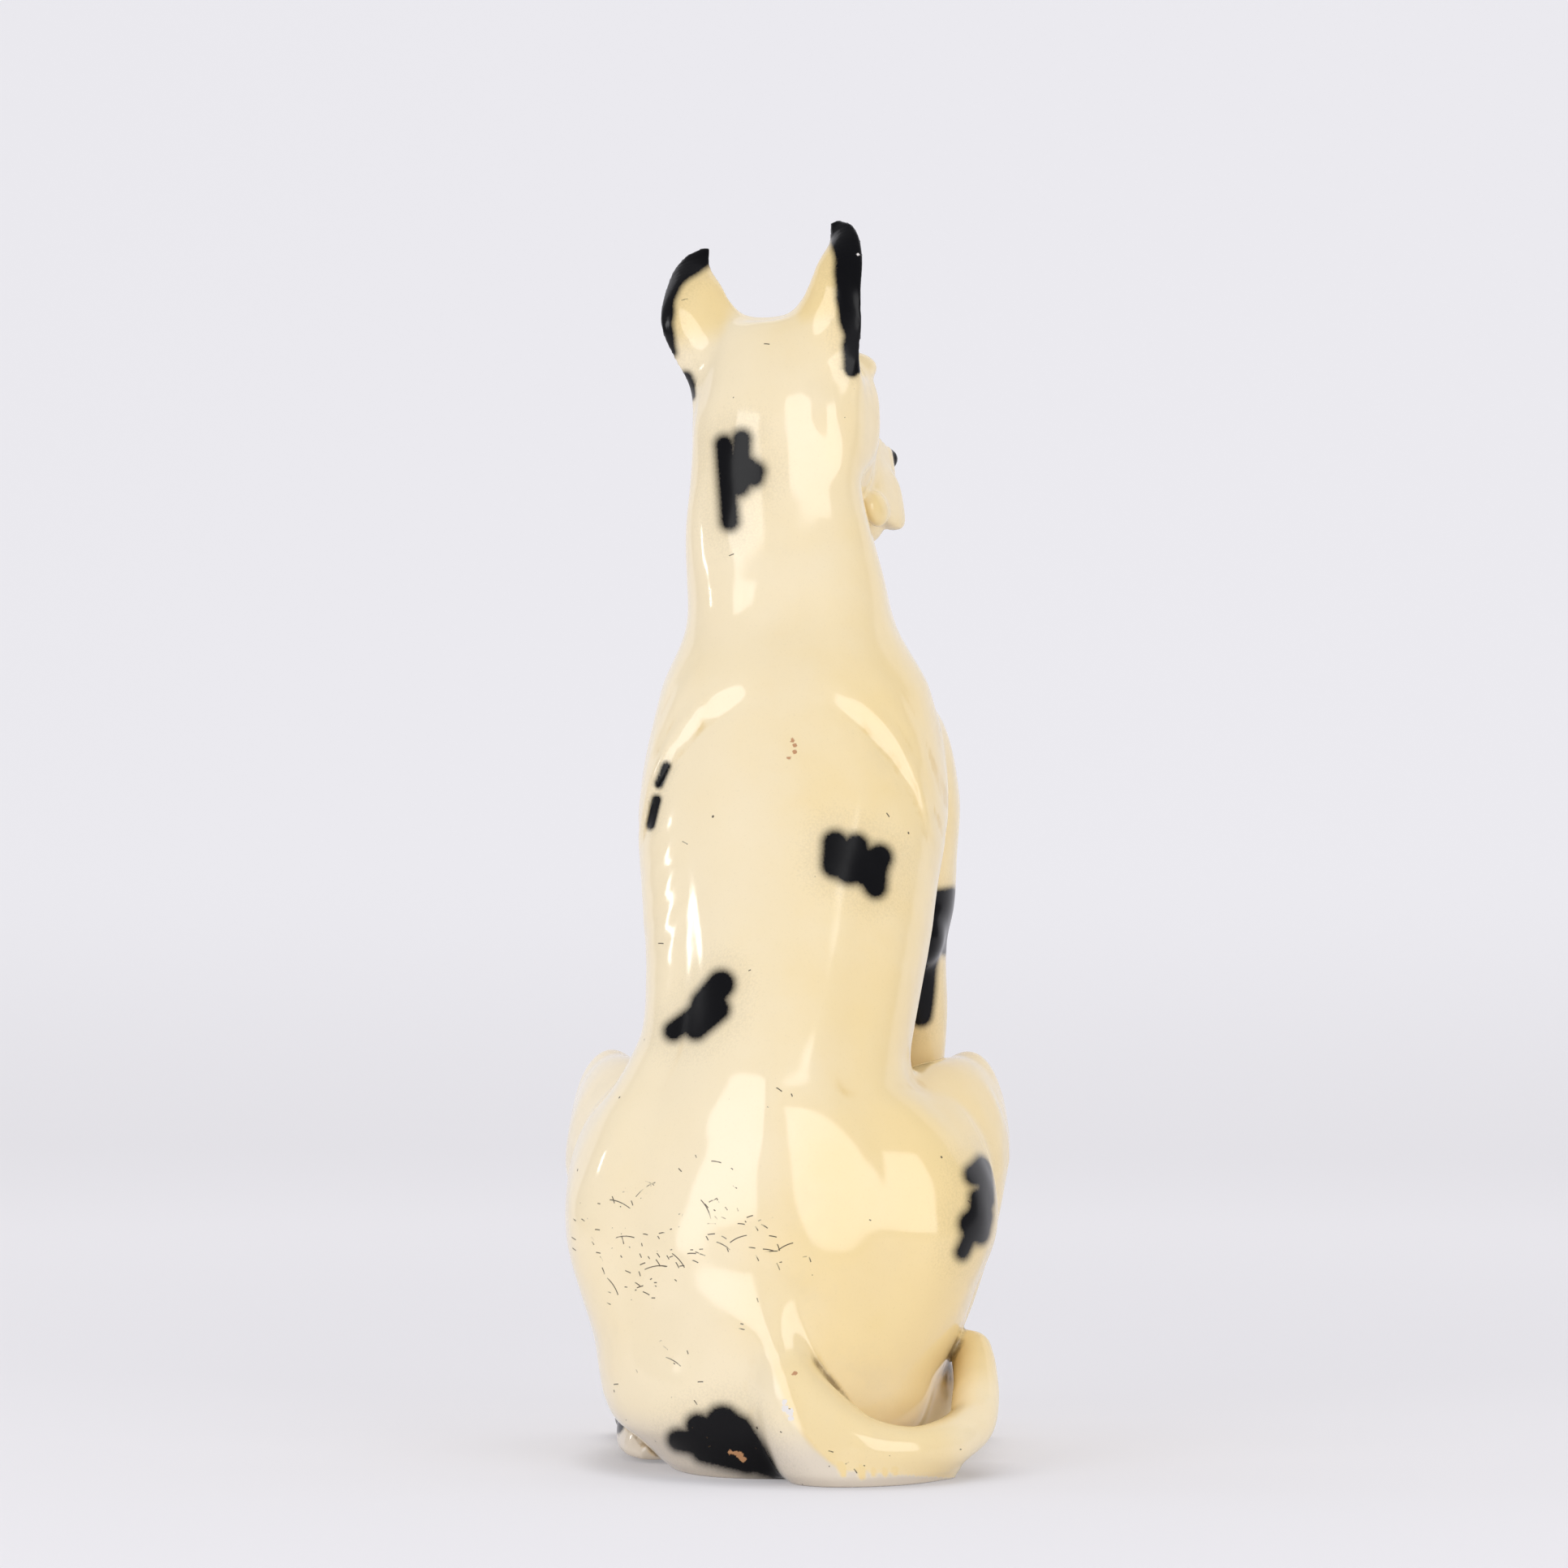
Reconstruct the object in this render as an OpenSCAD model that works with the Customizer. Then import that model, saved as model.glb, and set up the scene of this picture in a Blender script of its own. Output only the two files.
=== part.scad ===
// Seated dog sculpture in glazed ceramic: hollow slip-cast pieces, luted together with slip.
// +Z is up, +Y is the way the chest faces, +X is the dog's right side.
// The origin lies on the floor, on the base slab's underside below the belly. All sizes are millimetres.

/* [Clay] */
// Wall of the cast shells
wall = 8; // [5:0.5:11]
// Slip layer between two castings
slip_t = 0.4; // [0.2:0.1:0.8]

/* [Base slab] */
// Thickness of the slab under the seat
slab_t = 10; // [6:1:16]
// How far the slab reaches past the seat under the tail
slab_tail_pad = 54; // [46:1:60]
// Diameter of the vent hole, which lets the air out in the kiln
vent_d = 24; // [10:1:40]

/* [Body levels, height above the floor] */
// Fullest part of the rump
rump_z = 75; // [60:1:90]
// Hips
hip_z = 176; // [160:1:195]
// Flank, where the hips draw in below the waist
flank_z = 252; // [242:1:260]
// Waist, where the hindquarters meet the chest
waist_z = 287; // [275:1:305]
// Ribs
ribs_z = 370; // [355:1:385]
// Shoulders
shoulder_z = 443; // [430:1:456]
// Withers
withers_z = 515; // [500:1:525]
// Neck base, where the chest meets the neck
neck_base_z = 556; // [546:1:568]
// Length of the neck, up to its end inside the head
neck_h = 140; // [130:1:146]

/* [Body widths] */
// Across the seat, at the slab
seat_w = 168; // [156:1:180]
// Across the rump
rump_w = 238; // [226:1:248]
// Across the hips
hip_w = 286; // [274:1:296]
// Across the flank
flank_w = 206; // [196:1:216]
// Across the waist
waist_w = 188; // [170:1:205]
// Across the ribs
ribs_w = 198; // [180:1:215]
// Across the shoulders, without the upper arms
shoulder_w = 210; // [195:1:225]
// Across the withers
withers_w = 182; // [165:1:200]
// Across the neck base
neck_base_w = 146; // [130:1:160]
// Across the middle of the neck
neck_mid_w = 130; // [118:1:140]
// Across the top of the neck
neck_top_w = 104; // [90:1:112]

/* [Back line, from the origin towards the rear] */
// Seat
seat_back = 176; // [165:1:190]
// Rump
rump_back = 189; // [178:1:200]
// Hips
hip_back = 185; // [174:1:194]
// Flank
flank_back = 165; // [156:1:174]
// Waist
waist_back = 150; // [140:1:160]
// Ribs
ribs_back = 113; // [100:1:125]
// Shoulders
shoulder_back = 82; // [70:1:95]
// Withers
withers_back = 51; // [40:1:62]
// Neck base
neck_base_back = 22; // [10:1:34]

/* [Front line, from the origin towards the chest] */
// Seat
seat_front = 30; // [15:1:45]
// Rump
rump_front = 56; // [46:1:66]
// Hips
hip_front = 70; // [60:1:80]
// Flank
flank_front = 80; // [70:1:90]
// Waist
waist_front = 88; // [75:1:100]
// Ribs
ribs_front = 126; // [110:1:140]
// Shoulders
shoulder_front = 160; // [145:1:175]
// Withers
withers_front = 160; // [145:1:175]
// Neck base
neck_base_front = 138; // [125:1:150]

/* [Roundness of the back] */
// Roundness of the rump's back: 2 for an ellipse, less for a gable
rump_round = 2.1; // [1.9:0.05:2.3]
// Roundness of the hips' back
hip_round = 1.75; // [1.6:0.05:2.3]
// Roundness of the waist's back
waist_round = 1.85; // [1.7:0.05:2.3]
// Roundness of the back from the ribs to the withers
ribs_round = 2.1; // [1.9:0.05:2.3]
// Roundness of the nape
nape_round = 2.05; // [1.9:0.05:2.3]

/* [Lean of the hips] */
// How far the rump and the flank lie to the left
hip_shift = 8; // [0:1:12]

/* [Neck] */
// Nape, ahead of the origin
nape_y = 5; // [-5:1:15]
// Throat, ahead of the origin
throat_y = 110; // [100:1:120]
// How far the top of the neck leans to the left
neck_lean = 16; // [8:1:20]

/* [Head] */
// Middle of the skull above the end of the neck
head_rise = 20; // [14:1:28]
// How far the middle of the skull lies ahead of the origin
head_y = 52; // [44:1:60]
// Turn to the right, in degrees
head_yaw = 18; // [10:1:26]
// Muzzle down, in degrees
head_pitch = 12; // [4:1:16]
// Right side up, in degrees
head_roll = 7; // [0:1:10]
// Across the skull
skull_w = 108; // [98:1:116]
// Skull, from its middle to its top
skull_top = 53; // [46:1:58]
// Skull, from its middle to the underside of the cheeks
cheek_drop = 66; // [58:1:72]
// Occiput, behind the middle of the skull
occiput_len = 54; // [46:1:60]
// Nose, ahead of the middle of the skull
muzzle_reach = 166; // [150:1:180]
// Across the muzzle
muzzle_w = 68; // [60:1:76]
// Depth of the upper lips below the head's axis
lip_drop = 60; // [52:1:66]

/* [Lower jaw] */
// Across the jaw
jaw_w = 56; // [50:1:62]
// Underside of the jaw below the head's axis
jaw_drop = 74; // [68:1:80]

// Depth of the jaw's seat in the upper lips
jaw_lap = 10; // [8:1:12]

/* [Eyes] */
// Diameter of an eyeball
eye_d = 20; // [16:1:22]
// Distance between the two eyes' middles
eye_gap = 66; // [62:1:70]

/* [Ears] */
// Thickness of an ear along its middle
ear_t = 8; // [6:0.5:11]
// Depth of an ear's hollow front
ear_cup = 13; // [8:1:18]
// Left ear's tip above the head's axis
left_ear_h = 119; // [112:1:124]
// Right ear's tip above the head's axis
right_ear_h = 122; // [115:1:127]

// Tip of an ear from the middle of the head
ear_tip_x = 51; // [46:1:56]
// Widest place of an ear's outer edge from the middle of the head
ear_flare = 73; // [68:1:78]

/* [Forelegs] */
// Distance between the middles of the two legs
foreleg_gap = 146; // [138:1:154]
// Across a leg at the pastern
pastern_w = 40; // [34:1:46]
// Across a leg at the elbow
elbow_w = 54; // [48:1:60]
// Height of the elbow
elbow_z = 347; // [335:1:360]
// Leg, fore and aft at the pastern
pastern_d = 44; // [38:1:50]
// Upper arm, fore and aft at the shoulder
arm_d = 108; // [98:1:116]
// How far the top of the shoulder lies behind the middle of the paw
shoulder_set = 76; // [68:1:84]
// Length of a fore paw
fore_paw_len = 80; // [72:1:84]
// Across a fore paw
fore_paw_w = 64; // [56:1:70]
// Height of a fore paw
fore_paw_h = 34; // [28:1:40]
// Tip of the toes, ahead of the origin
fore_paw_front = 198; // [194:1:208]

/* [Haunches] */
// Outside of a haunch from the middle of the dog
haunch_side = 144; // [138:1:150]
// Rear end of a haunch, behind the origin
haunch_back = 138; // [130:1:146]
// Across a thigh
thigh_w = 100; // [92:1:108]
// Middle of a thigh above the floor
thigh_z = 186; // [178:1:194]
// Thigh, from its middle to its underside
thigh_drop = 164; // [156:1:170]
// Top of a knee above the floor
knee_z = 266; // [252:1:280]
// Front of a knee, ahead of the origin
knee_front = 124; // [112:1:134]
// Middle of the left knee from the middle of the dog
left_knee_x = 133; // [124:1:140]
// Middle of the right knee from the middle of the dog
right_knee_x = 116; // [108:1:124]

/* [Hind feet] */
// Across a hind paw
hind_paw_w = 60; // [52:1:66]
// Height of a hind foot
hind_foot_h = 38; // [32:1:44]
// Heel, behind the origin
heel_back = 94; // [84:1:104]
// Toes, ahead of the origin
toe_front = 110; // [100:1:112]
// Middle of a hind paw from the middle of the dog
hind_paw_x = 98; // [93:1:104]

/* [Tail] */
// Middle of the tail outside the seat, where it lies on the slab
tail_out = 55; // [50:1:58]
// Height of the tail's root
tail_root_z = 108; // [100:1:120]
// Thickness at the root
tail_root_d = 28; // [24:1:32]
// Thickness where it lies round the seat
tail_mid_d = 37; // [33:1:40]
// Thickness near the tip
tail_tip_d = 26; // [20:1:32]
// How far round the seat it goes, in degrees
tail_wrap = 90; // [80:1:96]
// Height of the raised tip's middle
tail_tip_z = 76; // [60:1:85]

/* [Hidden] */

LEFT = -1;
RIGHT = 1;
GLAZE = "#f1dfb4";
BARE_CLAY = "#d9cbb4";
BLACK_GLAZE = "#1b1a1c";

// Points round a section, and rings along a form
BODY_SIDES = 40;
HEAD_SIDES = 28;
LIMB_SIDES = 20;
HAUNCH_SIDES = 24;
TAIL_SIDES = 12;
RING_STEP = 20;
LIMB_RINGS = 18;
HEAD_RINGS = 18;
TAIL_RINGS = 26;
EAR_RINGS = 10;
EAR_SIDES = 16;
// Squareness of a section: 2 is an ellipse
BODY_POWER = 2.3;
GABLE_SIDE = 0.6;
HEAD_POWER = 2.5;
LIMB_POWER = 2.2;
FOOT_POWER = 2.6;
// How much narrower the chest is at the breastbone
KEEL = 0.3;
// Least half size of a section
LEAST = 1;
// A cutter reaches this far past the face that it cuts
PAST = 1;
// Step of the slab's outline, in degrees
SLAB_TURN = 5;
// The skull's middle lies this much further left than the top of the neck
HEAD_SHIFT = -2;
// Eyes: share of the muzzle's reach, and of the skull's height
EYE_FORWARD = 0.38;
EYE_UP = 0.42;
// How much wider the lips are at their lower edge
LIP_SPREAD = 0.2;
JAW_RINGS = 10;
// A haunch's lower part slopes inwards by this much
HAUNCH_LEAN = 0.1;
// Tail: start angle on the seat's outline, depth of its root, and the shares where it drops and rises
TAIL_START = 270;
SLAB_START = 250;
TAIL_SINK = -2;
TAIL_DROP = 0.27;
TAIL_RISE = 0.6;

neck_mid_z = neck_base_z + neck_h / 2;
neck_top_z = neck_base_z + neck_h;
head_z = neck_top_z + head_rise;

function mix(a, b, t) = a + (b - a) * t;
function ease(t) = t * t * (3 - 2 * t);
function clamp(v, low, high) = max(low, min(high, v));
function last(list) = list[len(list) - 1];

// Slope of a table of rows at row i. Column 0 is the place along the form.
function slope(rows, i) =
    let (a = rows[max(i - 1, 0)], b = rows[min(i + 1, len(rows) - 1)])
    (b - a) / (b[0] - a[0]);

// Row of a table at place s, on a smooth curve through its rows
function row_at(rows, s) =
    let (
        i = clamp(len([for (r = rows) if (r[0] <= s) 1]) - 1, 0, len(rows) - 2),
        gap = rows[i + 1][0] - rows[i][0],
        t = (s - rows[i][0]) / gap
    )
    rows[i] * (1 - ease(t)) + rows[i + 1] * ease(t)
    + gap * t * (1 - t) * (slope(rows, i) * (1 - t) - slope(rows, i + 1) * t);

// Place i of n from a to b, closer together towards both ends
function end_place(a, b, i, n) = mix(a, b, (1 - cos(180 * i / n)) / 2);

// Evenly spaced places from a to b, at most step apart
function places(a, b, step) = let (n = ceil((b - a) / step)) [for (i = [0 : n]) mix(a, b, i / n)];

// One coordinate of a superellipse
function bow(v, power) = sign(v) * pow(abs(v), 2 / power);

// Section through a form: a closed ring of points [u, v] with its own reach up and down
function section(cu, cv, half_w, up, down, power, sides, turn = 1) = [
    for (j = [0 : sides - 1])
        let (a = turn * 360 * j / sides, s = bow(sin(a), power))
        [cu + half_w * bow(cos(a), power), cv + (s > 0 ? up : down) * s]
];

// Triangles between two neighbouring rings of n points, which start at points a and b
function band(a, b, n) = [
    for (j = [0 : n - 1])
        let (k = (j + 1) % n)
        each [[a + j, b + j, b + k], [a + j, b + k, a + k]]
];

// Triangles across a ring of n points, in strips from its first point to the one opposite
function lid(n) = [
    for (j = [0 : n / 2 - 1])
        each j == 0 ? [[0, 1, n - 1]]
            : j == n / 2 - 1 ? [[j, j + 1, n - j]]
            : [[j, j + 1, n - j - 1], [j, n - j - 1, n - j]]
];

// Closed solid through a list of rings
module loft(rings) {
    n = len(rings[0]);
    m = len(rings);
    sides = [for (i = [0 : m - 2]) each band(i * n, (i + 1) * n, n)];
    top = (m - 1) * n;
    end = [for (f = lid(n)) [top + f[0], top + f[2], top + f[1]]];
    polyhedron([for (r = rings) each r], concat(lid(n), sides, end));
}

// Tube through outer rings and back through inner ones, open at both ends
module open_shell(outer, inner) {
    n = len(outer[0]);
    rings = concat(outer, [for (i = [len(inner) - 1 : -1 : 0]) inner[i]]);
    m = len(rings);
    polyhedron(
        [for (r = rings) each r],
        [for (i = [0 : m - 1]) each band(i * n, ((i + 1) % m) * n, n)]
    );
}

// The body: horizontal sections from the seat to the top of the neck
// Columns: height, middle in X, half width, back, front, keel: how much narrower the front is, roundness of the back
body_rows = [
    [slab_t, 0, seat_w / 2, -seat_back, seat_front, 0, BODY_POWER],
    [rump_z, -0.5 * hip_shift, rump_w / 2, -rump_back, rump_front, 0.1 * KEEL, rump_round],
    [hip_z, 0, hip_w / 2, -hip_back, hip_front, 0.5 * KEEL, hip_round],
    [flank_z, -hip_shift, flank_w / 2, -flank_back, flank_front, KEEL, hip_round],
    [waist_z, 0, waist_w / 2, -waist_back, waist_front, KEEL, waist_round],
    [ribs_z, 0, ribs_w / 2, -ribs_back, ribs_front, KEEL, ribs_round],
    [shoulder_z, 0, shoulder_w / 2, -shoulder_back, shoulder_front, KEEL, ribs_round],
    [withers_z, 0, withers_w / 2, -withers_back, withers_front, 0.6 * KEEL, ribs_round],
    [neck_base_z, -0.25 * neck_lean, neck_base_w / 2, -neck_base_back, neck_base_front, 0, ribs_round],
    [neck_mid_z, -0.65 * neck_lean, neck_mid_w / 2, nape_y, throat_y, 0, nape_round],
    [neck_top_z, -neck_lean, neck_top_w / 2, nape_y, throat_y, 0, nape_round]
];

// Point of a body section at angle a: round in front and at the sides, gabled at the back
function body_point(a, half_w, half_d, back_round) =
    let (side = ease(clamp((abs(cos(a)) - GABLE_SIDE) / (1 - GABLE_SIDE), 0, 1)))
    let (power = sin(a) < 0 ? mix(back_round, BODY_POWER, side) : BODY_POWER)
    [half_w * bow(cos(a), power), half_d * bow(sin(a), power)];

function body_ring(z, grow) =
    let (r = row_at(body_rows, z), half_d = (r[4] - r[3]) / 2 + grow)
    [
        for (j = [0 : BODY_SIDES - 1])
            let (p = body_point(360 * j / BODY_SIDES, r[2] + grow, half_d, r[6]))
            [r[1] + p[0] * (1 - r[5] * max(0, p[1]) / half_d), (r[3] + r[4]) / 2 + p[1], z]
    ];

// Outside of the body between two heights, grown by a clearance
module body_form(low, high, grow) {
    loft([for (z = places(low, high, RING_STEP)) body_ring(z, grow)]);
}

// Hollow length of the body between two seams
module body_shell(low, high) {
    open_shell(
        [for (z = places(low, high, RING_STEP)) body_ring(z, 0)],
        [for (z = places(low, high, 2 * RING_STEP)) body_ring(z, -wall)]
    );
}

// All that a limb is cut by: the outside of the body
module body_cutter() {
    body_form(slab_t, neck_top_z, slip_t);
}

module hindquarters() {
    color(GLAZE) body_shell(slab_t, waist_z);
}

module chest() {
    color(GLAZE) body_shell(waist_z, neck_base_z);
}

module neck() {
    color(GLAZE) body_shell(neck_base_z, neck_top_z);
}

// Middle of the seat, fore and aft
seat_mid_y = (seat_front - seat_back) / 2;

// Point on the seat's outline at angle a, moved outwards by d
function seat_point(a, d) = [
    (seat_w / 2 + d) * bow(cos(a), BODY_POWER),
    seat_mid_y + ((seat_front + seat_back) / 2 + d) * bow(sin(a), BODY_POWER)
];

// The base slab: the seat's outline, drawn out under the tail at the rear right
function slab_pad(a) =
    let (t = clamp(((a - SLAB_START + 360) % 360) / (TAIL_START + tail_wrap - SLAB_START), 0, 1))
    slab_tail_pad * ease(min(1, t / 0.35)) * ease(min(1, (1 - t) / 0.3));

module slab_shape(grow) {
    polygon([for (a = [0 : SLAB_TURN : 359]) seat_point(a, slab_pad(a) + grow)]);
}

module base_slab() {
    color(BARE_CLAY) difference() {
        linear_extrude(slab_t) slab_shape(0);
        translate([0, seat_mid_y, -PAST]) cylinder(h = slab_t + 2 * PAST, d = vent_d, $fn = 48);
    }
}

// The head, in its own frame: X to its right, Y towards the nose, Z up
module in_head() {
    translate([-neck_lean - HEAD_SHIFT, head_y, head_z])
        rotate([0, 0, -head_yaw]) rotate([-head_pitch, 0, 0]) rotate([0, -head_roll, 0]) children();
}

// Columns: place along the axis, middle, half width, reach up, reach down, spread of the lower part
head_rows = [
    [-occiput_len, 0, 0.04 * skull_w, 0.08 * skull_top, 0.08 * cheek_drop, 0],
    [-0.96 * occiput_len, 0, 0.16 * skull_w, 0.33 * skull_top, 0.3 * cheek_drop, 0],
    [-0.82 * occiput_len, 0, 0.31 * skull_w, 0.63 * skull_top, 0.56 * cheek_drop, 0],
    [-0.4 * occiput_len, 0, 0.45 * skull_w, 0.92 * skull_top, 0.86 * cheek_drop, 0],
    [0, 0, 0.5 * skull_w, skull_top, cheek_drop, 0],
    [0.2 * muzzle_reach, 0, 0.5 * skull_w, 0.98 * skull_top, cheek_drop, 0],
    [0.36 * muzzle_reach, 0, 0.48 * skull_w, 0.82 * skull_top, cheek_drop, 0],
    [0.5 * muzzle_reach, 0, 0.54 * muzzle_w, 0.3 * skull_top, mix(cheek_drop, lip_drop, 0.5), LIP_SPREAD],
    [0.68 * muzzle_reach, 0, 0.5 * muzzle_w, 0.12 * skull_top, lip_drop, LIP_SPREAD],
    [0.86 * muzzle_reach, 0, 0.48 * muzzle_w, 0.08 * skull_top, lip_drop, LIP_SPREAD],
    [0.95 * muzzle_reach, 0, 0.4 * muzzle_w, 0.05 * skull_top, 0.8 * lip_drop, LIP_SPREAD],
    [muzzle_reach, -0.2 * lip_drop, 0.18 * muzzle_w, 0.1 * skull_top, 0.3 * lip_drop, 0]
];

// Solid along Y through rows of place, middle in Z, half width, reach up, reach down and spread
module axis_form(rows, rings, sides, power, grow) {
    first = rows[0][0];
    end = last(rows)[0];
    loft([
        for (i = [0 : rings])
            let (
                y = end_place(first - grow, end + grow, i, rings),
                r = row_at(rows, clamp(y, first, end)),
                w = max(LEAST, r[2] + grow),
                up = max(LEAST, r[3] + grow),
                down = max(LEAST, r[4] + grow)
            )
            [
                for (p = section(0, 0, w, up, down, power, sides, -1))
                    [p[0] * (1 - r[5] * p[1] / max(up, down)), y, r[1] + p[1]]
            ]
    ]);
}

module head_form(grow) {
    axis_form(head_rows, HEAD_RINGS, HEAD_SIDES, HEAD_POWER, grow);
}

module eyeball(side, grow) {
    translate([side * eye_gap / 2, EYE_FORWARD * muzzle_reach, EYE_UP * skull_top])
        sphere(d = eye_d + 2 * grow, $fn = 32);
}

// The neck's spigot goes up into the head through a hole in the skull's underside
module head() {
    color(GLAZE) difference() {
        in_head() difference() {
            head_form(0);
            head_form(-wall);
            eyeball(LEFT, slip_t);
            eyeball(RIGHT, slip_t);
        }
        body_form(neck_base_z, neck_top_z, slip_t);
    }
}

jaw_mid = lip_drop - jaw_lap;
jaw_rows = [
    [0.2 * muzzle_reach, -jaw_mid, 0.3 * jaw_w, jaw_lap, 0.4 * (jaw_drop - jaw_mid), 0],
    [0.36 * muzzle_reach, -jaw_mid, 0.46 * jaw_w, jaw_lap, 0.9 * (jaw_drop - jaw_mid), 0],
    [0.6 * muzzle_reach, -jaw_mid, 0.5 * jaw_w, jaw_lap, jaw_drop - jaw_mid, 0],
    [0.8 * muzzle_reach, -jaw_mid, 0.46 * jaw_w, jaw_lap, jaw_drop - jaw_mid, 0],
    [0.9 * muzzle_reach, -jaw_mid, 0.2 * jaw_w, jaw_lap / 2, 0.5 * (jaw_drop - jaw_mid), 0]
];

module lower_jaw() {
    color(GLAZE) difference() {
        in_head() difference() {
            axis_form(jaw_rows, JAW_RINGS, LIMB_SIDES, HEAD_POWER, 0);
            head_form(slip_t);
        }
        body_form(neck_base_z, neck_top_z, slip_t);
    }
}

// An ear: a cupped leaf between an inner and an outer edge, in the head's frame, for the right side
// Columns: share of the length, X, Y, Z
function ear_inner_edge(tip_h) = [
    [0, 0.12 * skull_w, -8, 0.7 * skull_top],
    [0.3, 0.24 * skull_w, -7, 1.15 * skull_top],
    [1, ear_tip_x, 2, tip_h]
];
function ear_outer_edge(tip_h) = [
    [0, 0.5 * skull_w, 0, 0.1 * skull_top],
    [0.3, 0.63 * skull_w, -14, 0.72 * skull_top],
    [0.55, ear_flare, -19, 1.25 * skull_top],
    [0.8, 0.94 * ear_flare, -9, mix(1.25 * skull_top, tip_h, 0.6)],
    [1, ear_tip_x + 2, 2, tip_h]
];

function drop_first(row) = [for (i = [1 : len(row) - 1]) row[i]];
function unit(v) = v / norm(v);

// Ring of an ear's section: along its back from the inner to the outer edge, and back along its front
function ear_ring(t, tip_h) =
    let (
        a = drop_first(row_at(ear_inner_edge(tip_h), t)),
        b = drop_first(row_at(ear_outer_edge(tip_h), t)),
        back = unit(cross(b - a, [0.2, 0, 1])) * -1,
        full = ease(min(1, (1 - t) * 2.5)),
        n = EAR_SIDES / 2
    )
    concat(
        [for (j = [0 : n - 1]) let (w = j / n) mix(a, b, w) - back * ear_cup * full * 4 * w * (1 - w)],
        [
            for (j = [0 : n - 1])
                let (w = 1 - j / n, thick = mix(0.35, 1, sqrt(4 * w * (1 - w))) * ear_t * mix(0.4, 1, full))
                mix(a, b, w) - back * (ear_cup * full * 4 * w * (1 - w) - thick)
        ]
    );

module ear(side, tip_h) {
    color(GLAZE) difference() {
        in_head() difference() {
            mirror([side == LEFT ? 1 : 0, 0, 0])
                loft([for (i = [0 : EAR_RINGS]) ear_ring(i / EAR_RINGS, tip_h)]);
            head_form(slip_t);
        }
        body_form(neck_base_z, neck_top_z, slip_t);
    }
}

module left_ear() {
    ear(LEFT, left_ear_h);
}

module right_ear() {
    ear(RIGHT, right_ear_h);
}

module left_eye() {
    color(BLACK_GLAZE) in_head() eyeball(LEFT, 0);
}

module right_eye() {
    color(BLACK_GLAZE) in_head() eyeball(RIGHT, 0);
}

// A foreleg with the upper arm and shoulder: horizontal sections from the paw to the withers
// Columns: height, out from the middle, forward, half width, reach forward, reach back
leg_x = foreleg_gap / 2;
paw_mid_y = fore_paw_front - 0.55 * fore_paw_len;
leg_top_z = mix(withers_z, neck_base_z, 0.25);
function leg_z(t) = mix(fore_paw_h, elbow_z, t);
function leg_y(t) = paw_mid_y - t * shoulder_set;
foreleg_rows = [
    [0, leg_x, leg_y(0), 0.47 * fore_paw_w, 0.5 * fore_paw_len, 0.425 * fore_paw_len],
    [0.4 * fore_paw_h, leg_x, leg_y(0), 0.5 * fore_paw_w, 0.55 * fore_paw_len, 0.45 * fore_paw_len],
    [fore_paw_h, leg_x, leg_y(0.1), 0.42 * fore_paw_w, 0.425 * fore_paw_len, 0.375 * fore_paw_len],
    [leg_z(0.07), leg_x, leg_y(0.24), 0.53 * pastern_w, 0.59 * pastern_d, 0.545 * pastern_d],
    [leg_z(0.22), leg_x, leg_y(0.32), 0.5 * pastern_w, 0.5 * pastern_d, 0.5 * pastern_d],
    [leg_z(0.6), leg_x, leg_y(0.34), 0.51 * pastern_w, 0.545 * pastern_d, 0.545 * pastern_d],
    [leg_z(0.825), leg_x, leg_y(0.4), 0.46 * elbow_w, 0.27 * arm_d, 0.28 * arm_d],
    [elbow_z, leg_x, leg_y(0.5), 0.5 * elbow_w, 0.315 * arm_d, 0.35 * arm_d],
    [mix(elbow_z, shoulder_z, 0.52), leg_x, leg_y(0.6), 0.56 * elbow_w, 0.445 * arm_d, 0.425 * arm_d],
    [shoulder_z, leg_x + 0.05 * elbow_w, leg_y(0.71), 0.6 * elbow_w, 0.52 * arm_d, 0.48 * arm_d],
    [mix(shoulder_z, withers_z, 0.7), leg_x, leg_y(0.87), 0.46 * elbow_w, 0.41 * arm_d, 0.39 * arm_d],
    [leg_top_z, leg_x - 0.15 * elbow_w, leg_y(1), 0.2 * elbow_w, 0.167 * arm_d, 0.167 * arm_d]
];

module foreleg_form(side, low, high, rings, grow) {
    loft([
        for (i = [0 : rings])
            let (
                z = mix(low, high, i / rings),
                r = row_at(foreleg_rows, z),
                front = r[4] + grow,
                back = r[5] + grow
            )
            [
                for (p = section(side * r[1], r[2], r[3] + grow, front, back, LIMB_POWER, LIMB_SIDES))
                    [p[0], p[1], z]
            ]
    ]);
}

module foreleg(side) {
    color(GLAZE) difference() {
        foreleg_form(side, 0, leg_top_z, 2 * LIMB_RINGS, 0);
        foreleg_form(side, 2 * wall, shoulder_z, LIMB_RINGS, -wall);
        body_cutter();
    }
}

module left_foreleg() {
    foreleg(LEFT);
}

module right_foreleg() {
    foreleg(RIGHT);
}

// A haunch: upright sections from the rump to the front of the knee
// Shares: way from the rear to the knee's front, way from thigh to knee, inset, height above the thigh's
// middle, half width, reach up, reach down
HAUNCH_SHARES = [
    [0, 0, 0.36, -0.45, 0.08, 0.2, 0.12],
    [0.069, 0, 0.3, -0.26, 0.28, 0.5, 0.5],
    [0.221, 0, 0.16, -0.075, 0.46, 0.75, 0.8],
    [0.393, 0, 0.06, 0, 0.5, 0.9, 0.96],
    [0.565, 0.4, 0, 0.05, 0.44, 0.925, 0.915],
    [0.748, 0.8, 0, 0.175, 0.35, 0.81, 0.61],
    [0.863, 1, 0, 0.275, 0.27, 0.725, 0.38],
    [0.954, 1, 0, 0.3, 0.2, 0.55, 0.256],
    [1, 1, 0, 0.275, 0.08, 0.225, 0.11]
];

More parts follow.
